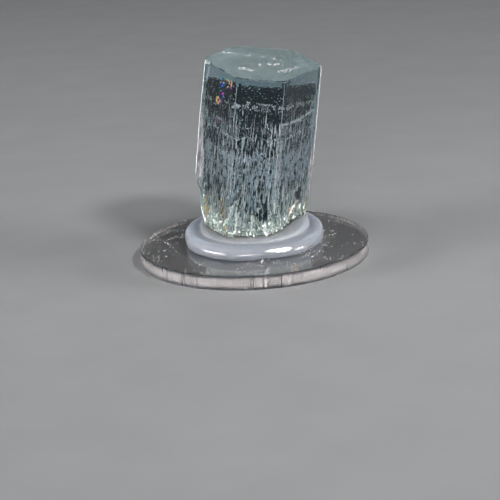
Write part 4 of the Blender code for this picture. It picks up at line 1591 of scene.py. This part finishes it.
def ring_tree(name):
    """Slivers between two radii and two heights, each turned to face outward."""
    tree, given = new_tree(name, RING_SOCKETS)
    seed = given["Seed"]
    angle = random_between(tree, given["Start"], given["End"], seed, 1)
    reach = random_between(tree, given["Inner"], given["Outer"], seed, 2)
    x = maths(tree, "MULTIPLY", reach, maths(tree, "COSINE", angle, 0.0))
    y = maths(tree, "MULTIPLY", reach, maths(tree, "SINE", angle, 0.0))
    z = random_between(tree, given["Low"], given["High"], seed, 3)
    place = add_node(tree, "ShaderNodeCombineXYZ", {0: x, 1: y, 2: z}).outputs[0]
    points = add_node(tree, "GeometryNodePoints", {"Count": given["Count"], "Position": place}).outputs[0]
    points = keep_name(tree, points, "shade", random_between(tree, 0.0, 1.0, seed, 4))
    here = add_node(tree, "GeometryNodeInputPosition").outputs[0]
    cloud = add_node(tree, "ShaderNodeTexNoise", {
        "Vector": vector_maths(tree, "SCALE", here, 0.2 / MM), "Scale": 1.0, "Detail": 1.0,
    }).outputs[0]
    points = without(tree, points, maths(tree, "LESS_THAN", cloud, given["Cluster Cut"]))
    parts = add_node(tree, "ShaderNodeSeparateXYZ", {0: here}).outputs
    bearing_out = maths(tree, "ARCTAN2", parts[1], parts[0])
    turn = add_node(tree, "ShaderNodeCombineXYZ", {2: bearing_out}).outputs[0]
    low = add_node(tree, "ShaderNodeSeparateXYZ", {0: given["Smallest"]}).outputs
    high = add_node(tree, "ShaderNodeSeparateXYZ", {0: given["Largest"]}).outputs
    sides = {k: random_between(tree, low[k], high[k], seed, 5 + k) for k in range(3)}
    size = add_node(tree, "ShaderNodeCombineXYZ", sides).outputs[0]
    sliver = add_node(tree, "GeometryNodeMeshUVSphere", {"Segments": 4, "Rings": 3, "Radius": 0.5})
    placed = add_node(tree, "GeometryNodeInstanceOnPoints", {
        "Points": points, "Instance": sliver.outputs[0],
        "Rotation": add_node(tree, "FunctionNodeEulerToRotation", {0: turn}).outputs[0], "Scale": size,
    })
    real = add_node(tree, "GeometryNodeRealizeInstances", {0: placed.outputs[0]})
    painted = add_node(tree, "GeometryNodeSetMaterial", {
        "Geometry": real.outputs[0], "Material": given["Finish"],
    })
    add_node(tree, "NodeGroupOutput", {0: painted.outputs[0]})
    return tree


slivers = ring_tree("ring_of_slivers")
saw_finish = inclusion_material("saw_line_white", (
    (0.0, (0.36, 0.34, 0.34)), (0.6, (0.60, 0.56, 0.56)), (1.0, (0.95, 0.90, 0.90)),
), 0.45, 0.6)
dust_finish = inclusion_material("dust_white", (
    (0.0, (0.60, 0.60, 0.61)), (1.0, (0.95, 0.95, 0.94)),
), 0.6)
saw_lines = grown(
    "saw_lines", slivers, saw_finish, seed=61, count=3600, inner=25.30, outer=25.34, low=1.5, high=1.68,
    smallest=(0.02, 0.02, 1.9), largest=(0.03, 0.09, 2.8),
)
# A small cluster of extra slivers on the front right of the rim is a painted reflection of the key box.
saw_glints = grown(
    "saw_glints", slivers, saw_finish, seed=62, count=70, inner=25.33, outer=25.36, low=1.5, high=1.68,
    smallest=(0.02, 0.03, 1.8), largest=(0.03, 0.12, 2.8),
    start=math.radians(-77.0), end=math.radians(-60.0),
)
dust_specks = grown(
    "dust_specks", slivers, dust_finish, seed=63, count=900, inner=12.0, outer=25.0, low=3.178, high=3.20,
    smallest=(0.08, 0.08, 0.08), largest=(0.34, 0.30, 0.24), cluster_cut=0.52,
)

# %% [markdown]
# ## Floor and light
#
# The floor is matt and light grey, darker than a white sweep, so that pale flecks stand out against
# what shows through the crystal. Three long, low panels in front and at the sides light the flecks.
# The small key box on the right makes the gloss on the putty. The end panel stands behind, where
# only the flat end of the crystal mirrors it towards the camera. Its bluish tint gives that face
# most of its teal, so that colour belongs to this view and this light, not to the crystal.

# %% Floor
FLOOR_RADIUS = 3.0
bm = bmesh.new()
bmesh.ops.create_circle(bm, cap_ends=True, segments=96, radius=FLOOR_RADIUS)
floor = mesh_object("floor", bm, Matrix.Translation((0.0, 0.0, -0.05 * MM)))
pale_floor, tree, shader, output = new_material("pale_floor")
place = place_in_mm(tree)
speckle = noise_of(tree, place, 0.06, 6.0)
tint = colours(tree, speckle, ((0.3, (0.36, 0.36, 0.365)), (0.7, (0.38, 0.38, 0.385))))
tree.links.new(tint, shader.inputs["Base Color"])
tree.links.new(ranged(tree, speckle, 0.3, 0.7, 0.85, 0.95), shader.inputs["Roughness"])
shader.inputs["Specular IOR Level"].default_value = 0.0
floor.data.materials.append(pale_floor)
floor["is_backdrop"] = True

# %% Lights
LIGHT_TARGET = Vector((0.0, 0.0, 0.02))


def soft_light(name, azimuth, elevation, distance, width, height, power, spread, tint):
    """A rectangular panel that faces the specimen; azimuth 0 is the camera's side, in degrees."""
    a, e = math.radians(azimuth), math.radians(elevation)
    way = Vector((math.sin(a) * math.cos(e), -math.cos(a) * math.cos(e), math.sin(e)))
    panel = bpy.data.lights.new(name, "AREA")
    panel.shape = "RECTANGLE"
    panel.size = width
    panel.size_y = height
    panel.energy = power
    panel.color = tint
    panel.spread = math.radians(spread)
    item = bpy.data.objects.new(name, panel)
    item.location = LIGHT_TARGET + way * distance
    item.visible_camera = False
    item.rotation_euler = (-way).to_track_quat("-Z", "Y").to_euler()
    bpy.context.scene.collection.objects.link(item)
    return item


PLAIN_WHITE = (1.0, 1.0, 1.0)
PANEL_TEAL = (0.74, 0.94, 0.95)
# Azimuth and elevation in degrees, distance and size in metres, power in watts, spread in degrees.
LIGHTS = (
    ("key_box", 37.0, 42.0, 0.75, 0.12, 0.09, 0.28, 60.0, PLAIN_WHITE),
    ("front_band", -8.0, 6.5, 1.6, 1.3, 0.32, 3.5, 50.0, PLAIN_WHITE),
    ("left_band", -76.0, 6.5, 1.6, 1.3, 0.32, 4.6, 50.0, PLAIN_WHITE),
    ("right_band", 76.0, 6.5, 1.6, 1.3, 0.32, 4.6, 50.0, PLAIN_WHITE),
    ("end_panel", 174.0, 29.5, 1.0, 0.8, 0.25, 0.115, 50.0, PANEL_TEAL),
)
for light in LIGHTS:
    soft_light(*light)

WORLD_TINT = (0.9, 0.95, 1.0, 1.0)
WORLD_STRENGTH = 0.05
world = bpy.data.worlds.new("studio")
world.use_nodes = True
world.node_tree.nodes["Background"].inputs["Color"].default_value = WORLD_TINT
world.node_tree.nodes["Background"].inputs["Strength"].default_value = WORLD_STRENGTH
bpy.context.scene.world = world
bpy.context.scene.view_settings.view_transform = "Standard"
print("floor and lights ready")

# %% [markdown]
# ## Hand over
#
# Every piece rides on the one body, and the solids that the crystal, putty and disc stand in for are hidden.

# %% Finish
STAND_INS = (
    (crystal, "aquamarine_crystal", "aquamarine"),
    (putty, "mounting_putty", "milky_putty"),
    (disc, "base_disc", "clear_acrylic"),
)
for piece, node, finish in STAND_INS:
    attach(piece, "root")
    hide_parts(node)
INCLUSIONS = (
    growth_tubes, long_threads, deep_tubes, deep_flecks, growth_specks, growth_front, growth_bands,
    milky_layer, root_needles, root_fill, edge_strips, front_edges, faint_edges, rim_flecks,
    rim_chips, bright_edges, veil_fleck, face_threads, dark_windows, root_crack, iron_stain,
    peach_break,
    *rainbow_cracks, top_specks, saw_lines, saw_glints, dust_specks,
)
for piece in INCLUSIONS:
    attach(piece, "root")

low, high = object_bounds()
